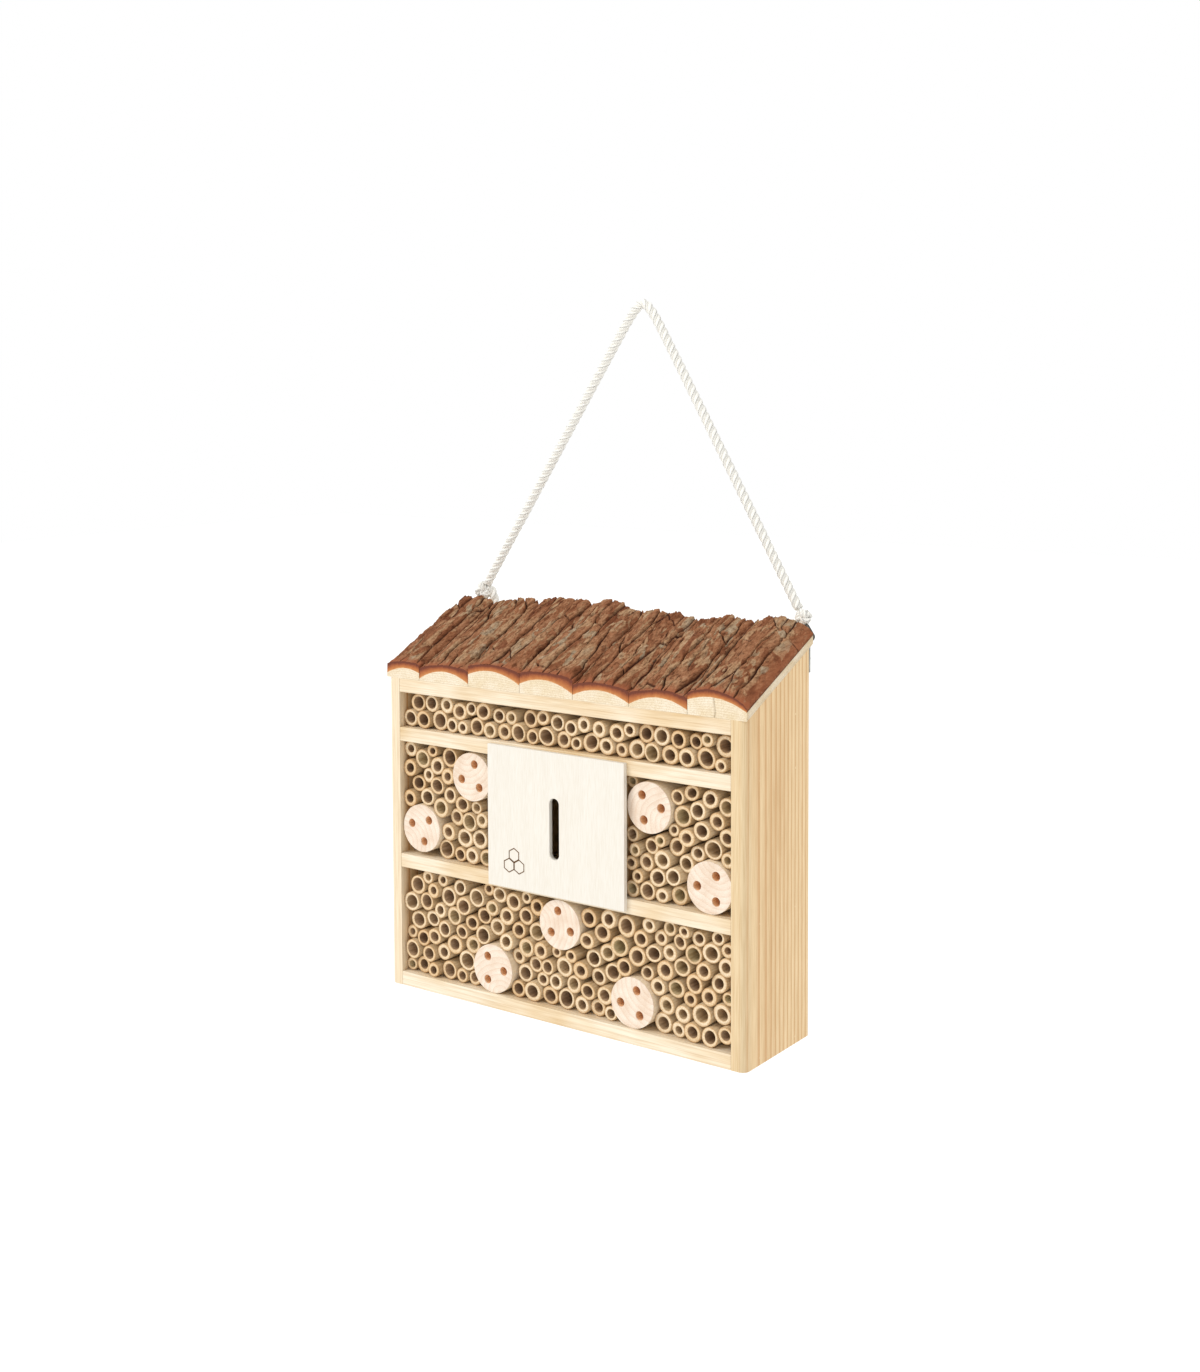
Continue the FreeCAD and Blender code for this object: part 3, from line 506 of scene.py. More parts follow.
def billetMaterial(name, centre, faceY, radius, lean):
    # sawn end of a bored birch billet: pinkish cream with faint rings 4 mm apart round a heart that
    # is off its middle; the bored walls, which lie behind the face, are scorched orange
    material, add, baseColour, normal, place = newMaterial(name, 0.7, 0.25)
    s = billetSettings
    heart = (centre[0] + s["heartOff"] * math.cos(lean), faceY,
             centre[2] + s["heartOff"] * math.sin(lean))
    centred = add("Mapping", {"Vector": place, "Location": [-h for h in heart]})
    rings = add("TexWave", {"Vector": centred, "Scale": ringScale(s["gap"]),
                            "Distortion": 6.0, "Detail": 2.0, "Detail Scale": 0.5},
                wave_type="RINGS", rings_direction="Y", wave_profile="SAW")
    late = add("Math", [rings.outputs["Fac"], 2.5], operation="POWER")
    cloud = add("TexNoise", {"Vector": centred, "Scale": 0.09 / mm, "Detail": 3.0})
    pores = add("TexNoise", {"Vector": centred, "Scale": 1.5 / mm, "Detail": 3.0, "Roughness": 0.7})
    strength = add("Math", [late, 0.4], operation="MULTIPLY")
    face = add("ValToRGB", [cloud], [(0.38, "#efe2d2"), (0.68, "#e3d0bc")])
    face = add("Mix", [strength, face, "#d3b193"], data_type="RGBA")
    fine = add("ValToRGB", [pores], [(0.35, "#e2d6cb"), (0.6, "#ffffff")])
    face = add("Mix", [0.6, face, fine], **darken)
    streaks = add("TexNoise", {"Vector": add("Mapping", {
        "Vector": place, "Scale": (1, 0.05, 1)}), "Scale": 0.7 / mm, "Detail": 3.0})
    bore = add("ValToRGB", [streaks], [(0.3, "#d39c6c"), (0.7, "#e9c095")])
    skin = add("ValToRGB", [streaks], [(0.3, "#d9c3a3"), (0.7, "#e8d6bb")])
    # distance from the billet's axis parts its outside from the holes' walls
    own = add("Mapping", {"Vector": place, "Location": (-centre[0], 0, -centre[2]),
                          "Scale": (1, 0, 1)})
    out = add("VectorMath", [own], operation="LENGTH").outputs["Value"]
    isSkin = add("Math", [out, radius - s["skin"]], operation="GREATER_THAN")
    behind = add("Mix", [isSkin, bore, skin], data_type="RGBA")
    depthIn = add("SeparateXYZ", [centred]).outputs["Y"]
    isDeep = add("Math", [depthIn, s["face"]], operation="GREATER_THAN")
    add("Mix", [isDeep, face, behind], data_type="RGBA", into=baseColour)
    add("Bump", {"Height": pores, "Distance": 0.15 * mm, "Strength": 0.6}, into=normal)
    return material


def steelMaterial(name, light, dark, roughness):
    # zinc-plated mild steel: dull grey with cloudy patches of oxide
    material, add, baseColour, normal, place = newMaterial(name, roughness, Metallic=1.0)
    cloud = add("TexNoise", {"Vector": place, "Scale": 0.26 / mm, "Detail": 4.0, "Roughness": 0.65})
    add("ValToRGB", [cloud], [(0.3, dark), (0.7, light)], into=baseColour)
    grit = add("TexNoise", {"Vector": place, "Scale": 1.8 / mm})
    add("Bump", {"Height": grit, "Distance": 0.04 * mm, "Strength": 0.6}, into=normal)
    return material


def dress(node, material, easing=0.0, proud=0.0):
    # a CAD sub-part keeps its mesh: its loose triangles are joined, its edges eased by easing mm or
    # its faces raised by proud mm, and it gets a finish
    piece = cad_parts[node]
    piece.data.materials.clear()
    piece.data.materials.append(material)
    if easing or proud:
        piece.modifiers.new("join", "WELD").merge_threshold = 0.01 * mm
    if proud:
        raised = piece.modifiers.new("proud", "DISPLACE")
        raised.strength = proud * mm
        raised.mid_level = 0
    if easing:
        ease = piece.modifiers.new("ease", "BEVEL")
        ease.width = easing * mm
        ease.segments = 2
        ease.limit_method = "ANGLE"
        ease.angle_limit = math.radians(35)
        ease.harden_normals = True


for node, (back, up) in levelHearts.items():
    low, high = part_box(node)
    heart = (0, low[1] / mm + back, low[2] / mm + up)
    # the level boards have no plain edge, so theirs ends where they begin
    dress(node, pineMaterial(camelName("planedPine", node), "X", pineTones, heart,
                             edgeY=low[1] - boardSettings["plainEdge"],
                             **boardSettings["level"]),
          boardSettings["levelEasing"])
for node, (across, back) in uprightHearts.items():
    low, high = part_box(node)
    heart = ((low[0] + high[0]) / 2 / mm + across, frontY / mm + back, 0)
    dress(node, pineMaterial(camelName("planedPine", node), "Z",
                             leftTones if "left" in node else rightTones, heart, edgeY=frontY,
                             **boardSettings["upright"]),
          boardSettings["sideEasing" if "side" in node else "dividerEasing"])
dress("entrance_plate", plyMaterial("sandedBirchPly", "#e3ded4", "#e0dacf"), 0.35)
dress("back_panel", plyMaterial("rawPoplarPly", "#dfc9a2", "#cdb184"), 0.3)
stripSteel = steelMaterial("zincPlatedStrip", "#a9a9a6", "#7d7c78", 0.35)
wireSteel = steelMaterial("dullGalvanisedWire", "#6d6a66", "#3d3a37", 0.42)
for node in ("slab_nails", "hanger_screws"):
    dress(node, stripSteel, 0.12)
dress("back_panel_nails", stripSteel, proud=0.06)
# the brads' heads are punched in and stopped with a filler the colour of the boards
dress("frame_brads", plyMaterial("stoppedBradHead", "#e8cda2", "#e0c296"), proud=0.06)
for node in ("hanger_strap_left", "hanger_strap_right"):
    dress(node, stripSteel, 0.2)
for node in ("hanger_ring_left", "hanger_ring_right"):
    dress(node, wireSteel)
for number in range(1, 8):
    low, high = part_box("nest_block_%d" % number)
    centre = [(a + b) / 2 for a, b in zip(low, high)]
    dress("nest_block_%d" % number,
          billetMaterial("boredBirchBillet%d" % number, centre, low[1], (high[0] - low[0]) / 2,
                         billetSettings["turn"] * number), billetSettings["easing"])
print("boards, plate, billets and metal finished")

caneSettings = {
    "around": 20,
    "easedRim": 0.22 * mm,
    "oval": 0.09,            # how far from round a cane may be, as a share of its radius
    "sawTilt": 0.06,         # slope of the sawn ends
    "bentBore": 0.3 * mm,    # how far a bore may be off its cane's middle
    "nodeShare": 0.35,       # how many canes show a closed joint inside
    "nodeDepth": (9, 30),    # mm from the sawn end to that joint
    "lens": (0.8 * mm, 1.6 * mm),  # how far back that joint's middle bulges, front and back face
    "seed": 5,
}


def caneMaterials():
    # dried cane: the skin is tan, hard and slightly waxy with fine lines along it; the sawn wall is
    # pale, darker and denser to the outside; the pith inside is brown and papery. Each cane has a
    # tint of its own
    finishes = []
    kinds = (
        ("driedCaneSkin", 0.5, [(0.0, "#b89c76"), (0.35, "#ccb38e"), (0.7, "#d8c2a0"),
                                (1.0, "#c3ab88")], (1, 0.04, 1), 0.9 / mm, "#d3c6b2"),
        ("sawnCaneWall", 0.75, [(0.0, "#e3c8a2"), (0.4, "#ebd7b8"), (0.8, "#f0e0c6"),
                                (1.0, "#e2cba8")], (1, 1, 1), 1.5 / mm, "#d6c2a2"),
        ("paperyCanePith", 0.85, [(0.0, "#8f7257"), (0.35, "#b89b7b"), (0.6, "#9e8164"),
                                  (0.85, "#c4aa86"), (1.0, "#c0ae86")], (1, 0.08, 1), 0.6 / mm,
         "#c3b39c"),
    )
    for name, roughness, tones, stretch, scale, shadeTone in kinds:
        material, add, baseColour, normal, place = newMaterial(name, roughness, 0.25)
        tint = add("Attribute", attribute_name="tint").outputs["Fac"]
        lines = add("TexNoise", {"Vector": add("Mapping", {
            "Vector": place, "Scale": stretch}), "Scale": scale, "Detail": 3.0})
        base = add("ValToRGB", [tint], tones)
        shade = add("ValToRGB", [lines], [(0.32, shadeTone), (0.62, "#ffffff")])
        if name == "sawnCaneWall":
            inward = add("Attribute", attribute_name="inward").outputs["Fac"]
            rim = add("ValToRGB", [inward], [(0.0, "#d0b48e"), (0.25, "#f6eee2"),
                                             (0.8, "#ffffff"), (1.0, "#eadbc4")])
            base = add("Mix", [0.85, base, rim], **darken)
        add("Mix", [0.75, base, shade], **darken, into=baseColour)
        add("Bump", {"Height": lines, "Distance": 0.12 * mm, "Strength": 0.6}, into=normal)
        finishes.append(material)
    return finishes


def measureCanes(node):
    # each cane of a group is one connected island of the CAD mesh: points that share a triangle
    # take the lowest label among them until none changes, and each label's box and least distance
    # from its axis give the cane's axis, radii and ends
    mesh = node.data
    grid = 1e-6              # metres; points that round to the same place on it are one
    co = np.empty(len(mesh.vertices) * 3)
    mesh.vertices.foreach_get("co", co)
    tris = np.empty(len(mesh.polygons) * 3, dtype=np.int64)
    mesh.polygons.foreach_get("vertices", tris)
    keys, same = np.unique(np.round(co.reshape(-1, 3) / grid).astype(np.int64), axis=0,
                           return_inverse=True)
    tris = same.ravel()[tris].reshape(-1, 3)
    spots = keys * grid
    label = np.arange(len(spots))
    while True:
        least = label[tris].min(axis=1)
        new = label.copy()
        for k in range(3):
            np.minimum.at(new, tris[:, k], least)
        new = new[new]
        if np.array_equal(new, label):
            break
        label = new
    names, island = np.unique(label, return_inverse=True)
    island = island.ravel()
    low = np.full((len(names), 3), np.inf)
    high = np.full((len(names), 3), -np.inf)
    np.minimum.at(low, island, spots)
    np.maximum.at(high, island, spots)
    centre = (low + high) / 2
    out = np.hypot(spots[:, 0] - centre[island, 0], spots[:, 2] - centre[island, 2])
    bore = np.full(len(names), np.inf)
    np.minimum.at(bore, island, out)
    return centre[:, 0], centre[:, 2], (high[:, 0] - low[:, 0]) / 2, bore, low[:, 1], high[:, 1]


def makeCanes(name, nodeName, materials, rng):
    # every cane is six rings: back outside, eased front edge, outer rim, inner rim, eased bore edge
    # and back of the bore. Its radius swells twice round it, its sawn end is a tilted plane, and
    # some canes have a closed joint inside, a thin lens across the bore
    x, z, outer, bore, start, end = measureCanes(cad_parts[nodeName])
    count = len(x)
    around = caneSettings["around"]
    ease = caneSettings["easedRim"]
    angle = np.arange(around) * 2 * math.pi / around
    radii = np.stack([outer, outer, outer - ease, bore + ease, bore, bore], axis=1)
    places = np.stack([end, start + ease, start, start, start + ease, end], axis=1)
    lean = rng.uniform(0, 2 * math.pi, count)
    oval = rng.uniform(0, caneSettings["oval"], count)
    shape = 1 - oval[:, None] * (0.5 + 0.5 * np.cos(2 * (angle[None, :] - lean[:, None])))
    bend = rng.uniform(-1, 1, (2, count)) * caneSettings["bentBore"]
    tilt = rng.uniform(-1, 1, (2, count)) * caneSettings["sawTilt"]
    r = radii[:, :, None] * shape[:, None, :]
    isBore = np.array([0, 0, 0, 1, 1, 1])              # which of the six rings are the bore's
    isFront = np.array([0, 1, 1, 1, 1, 0])[None, :, None]
    offX = r * np.cos(angle) + isBore[None, :, None] * bend[0][:, None, None]
    offZ = r * np.sin(angle) + isBore[None, :, None] * bend[1][:, None, None]
    y = places[:, :, None] + isFront * (tilt[0][:, None, None] * offX
                                        + tilt[1][:, None, None] * offZ)
    points = np.stack([x[:, None, None] + offX, y, z[:, None, None] + offZ], axis=-1)
    points = points.reshape(-1, 3)
    one = gridQuads(6, around, closeRows=True, closeColumns=True)
    quads = (one[None] + (np.arange(count) * 6 * around)[:, None, None]).reshape(-1, 4)[:, ::-1]
    strip = np.repeat(np.array([0, 1, 1, 1, 2, 1]), around)   # skin, sawn wall or pith
    tint = rng.uniform(0, 1, count)
    inward = np.tile(np.repeat(isBore, around), count)
    tints = np.repeat(tint, 6 * around)

    jointed = np.flatnonzero(rng.uniform(0, 1, count) < caneSettings["nodeShare"])
    within = rng.uniform(*caneSettings["nodeDepth"], count) * mm
    # the lens sits a little way into the cane's wall
    middle = np.stack([x + bend[0], start + within, z + bend[1]], axis=1)[jointed][:, None, :]
    circle = np.stack([np.cos(angle), np.zeros(around), np.sin(angle)], axis=1)
    rim = middle + (bore * 1.08)[jointed, None, None] * circle
    front, back = caneSettings["lens"]
    lens = np.concatenate([rim, middle + [0, front, 0], middle + [0, back, 0]], axis=1)
    first = len(points) + np.arange(len(jointed))[:, None] * (around + 2)
    here = first + np.arange(around)
    after = first + (np.arange(around) + 1) % around
    tip = np.broadcast_to(first + around, here.shape)
    frontFan = np.stack([here, after, tip], axis=-1)
    backFan = np.stack([after, here, tip + 1], axis=-1)
    fans = np.concatenate([frontFan.reshape(-1, 3), backFan.reshape(-1, 3)])
    lensTint = np.repeat(tint[jointed], around + 2)
    piece = newPiece(name, np.concatenate([points, lens.reshape(-1, 3)]), quads, materials,
                     "hotel", triangles=fans,
                     faceMaterial=np.concatenate([np.tile(strip, count), np.full(len(fans), 2)]),
                     values={"tint": np.concatenate([tints, lensTint]),
                             "inward": np.concatenate([inward, np.ones(len(lensTint))])})
    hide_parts(nodeName)
    return count


caneFinishes = caneMaterials()
caneRng = np.random.default_rng(caneSettings["seed"])
caneTotal = 0
for group in sorted(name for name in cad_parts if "_tubes" in name):
    caneTotal += makeCanes(camelName("canes", group), group, caneFinishes, caneRng)
print("canes:", caneTotal)

# height of the wood alone at a slab's left edge, crown and right edge, and of the whole slab with
# its bark, in mm above the slab's underside; the last has a drying crack, at that share of its
# width, and is worn bare over that many mm at its right edge
slabShapes = [
    {"wood": (2.9, 7.4, 5.1), "whole": (9.9, 12.4, 11.4)},
    {"wood": (1.3, 8.2, 1.8), "whole": (9.3, 12.8, 10.8)},
    {"wood": (8.6, 12.4, 5.2), "whole": (14.8, 17.2, 13.7)},
    {"wood": (6.4, 10.8, 3.6), "whole": (14.2, 16.2, 13.2)},
    {"wood": (3.3, 8.4, 2.2), "whole": (10.8, 13.4, 10.5)},
    {"wood": (1.8, 8.4, 2.6), "whole": (9.8, 13.4, 11.1)},
    {"wood": (9.5, 12.5, 5.6), "whole": (14.2, 17.4, 8.6), "crack": 0.46, "bare": 6.5},
]
barkSettings = {
    "acrossStep": 0.32 * mm,
    "alongStep": 0.5 * mm,
    "plateWidth": 11.0,      # mm, across the slope
    "plateLength": 75.0,     # mm, along the slope
    "furrow": 2.6,           # mm, depth of the cracks between plates
    "crack": 1.3,            # mm, from a crack's middle to the plate's top
    "flake": 0.7,            # mm, thickness of one flaked layer
    "layers": 4.2,           # flaked layers over the slow noise's range
    "wander": (2.4, 6.0),    # mm that plates wander across and along the slope
    "fineNet": (0.55, 0.5),  # a finer net of cracks, its cells as shares of a plate's size
    "fineCrack": 0.7,        # mm, depth of that net's cracks
    "stagger": 1.8,          # mm between the lowest and the highest plate
    "ridge": 0.55,           # mm, long ridges on the plates
    "grain": 0.1,            # mm, fine grain
    "leastBark": 1.5,        # mm left over the wood at the bottom of a crack
    "cleanEdge": 8.0,        # mm of the sawn front edge where the plates are worn low
    "rolledEdge": 2.6,       # mm at a slab's long edges where the bark rolls down
    "swell": 1.3,            # mm, slow swells over the whole slab
    "highest": 2.4,          # mm that a plate may stand above the slab's outline
    "chipped": 2.0,          # mm of the front edge that is chipped back
}
woodSettings = {
    "acrossStep": 0.45 * mm,
    "alongStep": 5 * mm,
    "crackWidth": 0.5 * mm,  # from a drying crack's middle to its edge
    "crackDepth": 1.6 * mm,
    "crackSway": 0.5 * mm,
    "bow": 3.5,              # mm that the growth lines drop from a slab's middle to its edges
}


def archHeight(u, left, crown, right):
    # the parabola through the two edges and the crown, near enough the log's own circle
    return left * (1 - u) + right * u + (crown - (left + right) / 2) * 4 * u * (1 - u)


def crackDistance(x, y, seed):
    # mm from the nearest edge between cells: the cells' own distance over how fast it changes
    edge, own, along = cells(x, y, seed)
    alongRate, acrossRate = np.gradient(edge, barkSettings["alongStep"] / mm / math.cos(slope),
                                        barkSettings["acrossStep"] / mm)
    return edge / np.maximum(np.hypot(alongRate, acrossRate), 0.01), own, along


def barkRelief(x, y, seed):
    # x and y are mm across and along the slope. Long plates lie between narrow cracks, each plate
    # tilted a little; thin layers have flaked off in terraces whose edges follow a slow noise; and
    # fine grain runs along. Returns the height in mm, a light value of painted shade that is how
    # open to the sky each point is, a tone for each flake, and the fine grain
    s = barkSettings
    wx = (x + s["wander"][0] * layeredNoise(x / 30, y / 34, seed)
          + 0.7 * softNoise(x / 4, y / 7, seed + 2))
    wy = y + s["wander"][1] * layeredNoise(x / 14, y / 40, seed + 3)
    away, own, along = crackDistance(wx / s["plateWidth"], wy / s["plateLength"], seed + 4)
    fineAway, fineOwn = crackDistance(wx / (s["plateWidth"] * s["fineNet"][0]) + 7,
                                      wy / (s["plateLength"] * s["fineNet"][1]), seed + 8)[:2]
    depthNoise = 0.5 + 0.5 * softNoise(x / 9, y / 16, seed + 31)
    plate = smoothStep(0.15, s["crack"], away + 0.25 * depthNoise)
    split = smoothStep(0.0, 0.75, fineAway + 0.5 * depthNoise)
    level = s["layers"] * layeredNoise(wx / 9, wy / 22, seed + 11) + 1.4 * fineOwn + 1.4 * own
    step = level - np.floor(level)
    terrace = np.floor(level) + smoothStep(0.92, 1.0, step)
    grain = layeredNoise(x / 1.2, y / 6.0, seed + 13, 3)
    ridge = layeredNoise(wx / 3.2, wy / 26, seed + 19, 3)
    height = (0.5 + (own - 0.5) * s["stagger"] * plate + along * 0.8 * (fineOwn - 0.5)
              - s["furrow"] * (0.6 + 0.4 * depthNoise) * (1 - plate)
              - s["fineCrack"] * (1 - split) * plate + s["flake"] * (terrace - 1.2) * plate
              + s["grain"] * grain + s["ridge"] * ridge)
    under = smoothStep(0.0, 0.1, step)               # the foot of each flaked layer lies in shade
    # light is painted shade: it is low in the cracks, in the fine splits and at the foot of each
    # flaked layer
    light = np.clip(plate * (0.6 + 0.4 * split) * (0.45 + 0.55 * under) + 0.12 * grain, 0, 1)
    tone = latticeValue(np.floor(level) + 40 * np.floor(own * 30), np.floor(fineOwn * 30),
                        seed + 23)
    return height, light, tone, grain


def slabGrid(number, acrossStep, alongStep):
    # the grid of a slab's underside: x and y run over its box, and z climbs from the front by the
    # slope's tangent; u is the share of the way across, and the slab's width is in mm
    low, high = slabBoxes[number]
    wide = (high[0] - low[0]) / mm
    u = np.linspace(0, 1, int(wide * mm / acrossStep))
    v = np.linspace(0, 1, int(depth / alongStep))
    uu, vv = np.meshgrid(u, v)
    y = frontY + vv * depth
    return low[0] + uu * wide * mm, y, roofFrontZ + (y - frontY) * math.tan(slope), uu, wide


def closedShell(upper, lower, layers):
    # a slab's skin: loops over the upper grid and back along the lower one, and sawn ends, which
    # are strips of points from the lower outline to the upper at the first and the last row.
    # Returns both with their quads, and each end point's share of the way up
    rows, columns = upper.shape[:2]
    shell = np.concatenate([upper, lower[:, ::-1]], axis=1).reshape(-1, 3)
    shellQuads = gridQuads(rows, 2 * columns, closeColumns=True)[:, ::-1]
    share = np.linspace(0, 1, layers + 1)[:, None, None]
    points, quads, shares = [], [], []
    for n, row in enumerate((0, rows - 1)):
        strip = lower[row][None] * (1 - share) + upper[row][None] * share
        q = gridQuads(layers + 1, columns) + n * (layers + 1) * columns
        points.append(strip.reshape(-1, 3))
        quads.append(q if n == 0 else q[:, ::-1])
        shares.append(np.broadcast_to(share[:, :, 0], (layers + 1, columns)).ravel())
    return (shell, shellQuads, np.concatenate(points), np.concatenate(quads),
            np.concatenate(shares))


def makeBark(number):
    # a closed shell between the wood's crown, a parabola, and the cracked outside, which is the
    # slab's whole height plus the relief, worn low at the sawn front and rolled down at its sides
    s, shape = barkSettings, slabShapes[number]
    x, y, base, uu, wide = slabGrid(number, s["acrossStep"], s["alongStep"])
    across = uu * wide
    along = (y - frontY) / mm / math.cos(slope)
    wood = archHeight(uu, *shape["wood"])
    whole = archHeight(uu, *shape["whole"])
    height, light, tone, grain = barkRelief(across + number * 60, along, 100 + 31 * number)
    inset = np.minimum(across, wide - across)
    roll = 1 - smoothStep(0.0, s["rolledEdge"], inset + 0.7 * grain)
    clean = smoothStep(0.0, s["cleanEdge"], along + 2.5 * grain)
    bare = shape.get("bare", 0.0)
    kept = smoothStep(0.55, 1.1, (wide - across + 1.5 * grain) / bare) if bare else 1.0
    clean = clean * (0.35 + 0.65 * kept)
    sway = s["swell"] * layeredNoise(across / 22, along / 60, 321 + number, 2)
    outside = whole + height * (0.2 + 0.8 * clean) + sway * clean - (0.5 + 1.1 * clean) * roll
    outside = np.maximum(outside, wood + s["leastBark"] * (1 - 0.4 * roll))
    outside = np.minimum(outside, whole + s["highest"])
    chip = (1 - smoothStep(0, s["chipped"], along)) * (0.2 + 0.3 * grain)
    outer = np.stack([x, y + chip * mm, base + outside * mm], axis=-1)
    inner = np.stack([x, y, base + wood * mm], axis=-1)
    shell, quads, endPoints, endQuads, endShares = closedShell(outer, inner, 4)
    rust = np.clip((1 - smoothStep(0.5, 7.0, along + 3.0 * grain)) * 0.8
                   + (1 - smoothStep(0.5, 3.0, inset)) * 0.25 + (1 - kept) * 0.3, 0, 1)
    # each number outside, then the same all over the wood's side and at the sawn ends
    # light is painted shade, dimmed further where the bark rolls down at the long edges and set to
    # half on the wood's side
    values = {}
    for key, outValue, inValue, endValue in (
            ("light", light * (1 - 0.5 * roll * clean), 0.5, 0.0), ("tone", tone, 0.0, 0.0),
            ("rust", rust, 0.0, 0.0), ("layer", np.ones_like(uu), 0.0, endShares)):
        both = np.concatenate([outValue, np.full_like(uu, inValue)], axis=1)
        values[key] = np.concatenate([both.ravel(), np.broadcast_to(endValue, endShares.shape)])
    faceMaterial = np.concatenate([np.zeros(len(quads)), np.ones(len(endQuads))])
    piece = newPiece("barkSlab%d" % (number + 1), np.concatenate([shell, endPoints]),
                     np.concatenate([quads, endQuads + len(shell)]), [barkFinish, bastFinish],
                     "hotel", faceMaterial=faceMaterial, values=values)
    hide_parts(slabNodes[number])


def makeSapwood(number):
    # the pale half-log under the bark, a closed shell between its crown and its flat underside; a
    # drying crack, where there is one, is a groove in the sawn front
    shape = slabShapes[number]
    x, y, base, uu, wide = slabGrid(number, woodSettings["acrossStep"], woodSettings["alongStep"])
    wood = archHeight(uu, *shape["wood"])
    top = np.stack([x, y, base + wood * mm], axis=-1)
    under = np.stack([x, y, base], axis=-1)
    shell, quads, endPoints, endQuads, shares = closedShell(top, under, 8)
    if "crack" in shape:
        lean = woodSettings["crackSway"] * np.sin(shares * 5)
        away = np.abs(endPoints[:, 0] - (x[0, 0] + shape["crack"] * wide * mm) - lean)
        isFront = endPoints[:, 1] < frontY + depth / 2
        groove = 1 - smoothStep(0, woodSettings["crackWidth"], away)
        endPoints[:, 1] += np.where(isFront, woodSettings["crackDepth"] * groove, 0)
    # growth lines follow the crown near the bark and flatten towards the heart
    heightEnd = (endPoints[:, 2] - roofFrontZ) / mm
    bow = np.tile((2 * uu[0] - 1) ** 2, len(shares) // len(uu[0])) * woodSettings["bow"]
    ringHeight = heightEnd + bow * shares
    newPiece("sapwood%d" % (number + 1), np.concatenate([shell, endPoints]),
             np.concatenate([quads, endQuads + len(shell)]), [sapwoodFinish], "hotel",
             values={"ringHeight": np.concatenate([np.full(len(shell), 3.0), ringHeight])})


def barkMaterial():
    # conifer bark, dusty and matt: brown plates, some weathered to grey-tan, each flake with a tone
    # of its own; painted shade turns it near-black in the cracks; rust-red where the sawn edge
    # bares the inner bark
    material, add, baseColour, normal, place = newMaterial("furrowedConiferBark", 0.92, 0.1)
    along = add("Mapping", {"Vector": place, "Rotation": (-slope, 0, 0), "Scale": (1, 0.22, 1)})
    patch = add("TexNoise", {"Vector": along, "Scale": 0.05 / mm, "Detail": 3.0,
                             "Roughness": 0.55, "Distortion": 0.4})
    grain = add("TexNoise", {"Vector": along, "Scale": 0.52 / mm, "Detail": 4.0, "Roughness": 0.7})
    speck = add("TexNoise", {"Vector": place, "Scale": 1.1 / mm, "Detail": 3.0, "Roughness": 0.7})
    light, tone, rust = (add("Attribute", attribute_name=key).outputs["Fac"]
                         for key in ("light", "tone", "rust"))
    toned = add("Math", [tone, 0.5, add("Math", [patch, 0.6], operation="MULTIPLY")],
                operation="MULTIPLY_ADD")
    brown = add("ValToRGB", [toned], [(0.25, "#855338"), (0.4, "#a06e4e"),
                                      (0.56, "#b08160"), (0.7, "#bf9c79"), (0.85, "#b3a38b")])
    shade = add("ValToRGB", [grain], [(0.32, "#7b6353"), (0.5, "#ddd1c6"), (0.66, "#ffffff")])
    brown = add("Mix", [0.85, brown, shade], **darken)
    dust = add("ValToRGB", [speck], [(0.35, "#a89788"), (0.62, "#ffffff")])
    brown = add("Mix", [0.4, brown, dust], **darken)
    bared = add("Mix", [rust, brown, "#96583b"], data_type="RGBA")
    # painted shade: where the light value is low, the bark's colour turns nearly black
    paintedShadeMask = add("ValToRGB", [light], [(0.08, "#000000"), (0.62, "#ffffff")])
    add("Mix", [paintedShadeMask, "#3a1c10", bared], data_type="RGBA", into=baseColour)
    height = add("Math", [grain, 0.8, speck], operation="MULTIPLY_ADD")
    add("Bump", {"Height": height, "Distance": 0.6 * mm, "Strength": 0.85}, into=normal)
    return material


def bastMaterial():
    # sawn inner bark: a pale line beside the wood, then orange-brown, dark at the outside
    material, add, baseColour, normal, place = newMaterial("sawnInnerBark", 0.8, 0.15)
    layer = add("Attribute", attribute_name="layer").outputs["Fac"]
    rough = add("TexNoise", {"Vector": place, "Scale": 0.42 / mm, "Detail": 4.0, "Roughness": 0.65})
    shifted = add("Math", [rough, 0.45, layer], operation="MULTIPLY_ADD")
    add("ValToRGB", [shifted], [(0.16, "#dfb483"), (0.3, "#bd7d4b"), (0.6, "#a8643b"),
                                (0.85, "#874b32"), (1.0, "#6c3c2d")], into=baseColour)
    add("Bump", {"Height": rough, "Distance": 0.3 * mm, "Strength": 0.7}, into=normal)
    return material


def sapwoodMaterial():
    # sawn sapwood: cream and furry from the saw, with faint growth lines 1.7 mm apart
    material, add, baseColour, normal, place = newMaterial("sawnSapwood", 0.75, 0.2)
    ring = add("Attribute", attribute_name="ringHeight").outputs["Fac"]
    wobble = add("TexNoise", {"Vector": place, "Scale": 0.09 / mm, "Detail": 3.0})
    turn = add("Math", [wobble, 5.0, add("Math", [ring, 2 * math.pi / 1.7], operation="MULTIPLY")],
               operation="MULTIPLY_ADD")
    wave = add("Math", [turn], operation="SINE")
    line = add("Math", [add("Math", [wave, 0.5, 0.5],
                            operation="MULTIPLY_ADD"), 3.0], operation="POWER")
    strength = add("Math", [line, 0.3], operation="MULTIPLY")
    fuzz = add("TexNoise", {"Vector": place, "Scale": 1.2 / mm, "Detail": 3.0, "Roughness": 0.7})
    base = add("ValToRGB", [wobble], [(0.35, "#ebe0cc"), (0.7, "#e2d2b4")])
    lined = add("Mix", [strength, base, "#c7a878"], data_type="RGBA")
    fine = add("ValToRGB", [fuzz], [(0.35, "#dccfba"), (0.6, "#ffffff")])
    add("Mix", [0.6, lined, fine], **darken, into=baseColour)
    add("Bump", {"Height": fuzz, "Distance": 0.2 * mm, "Strength": 0.7}, into=normal)
    return material


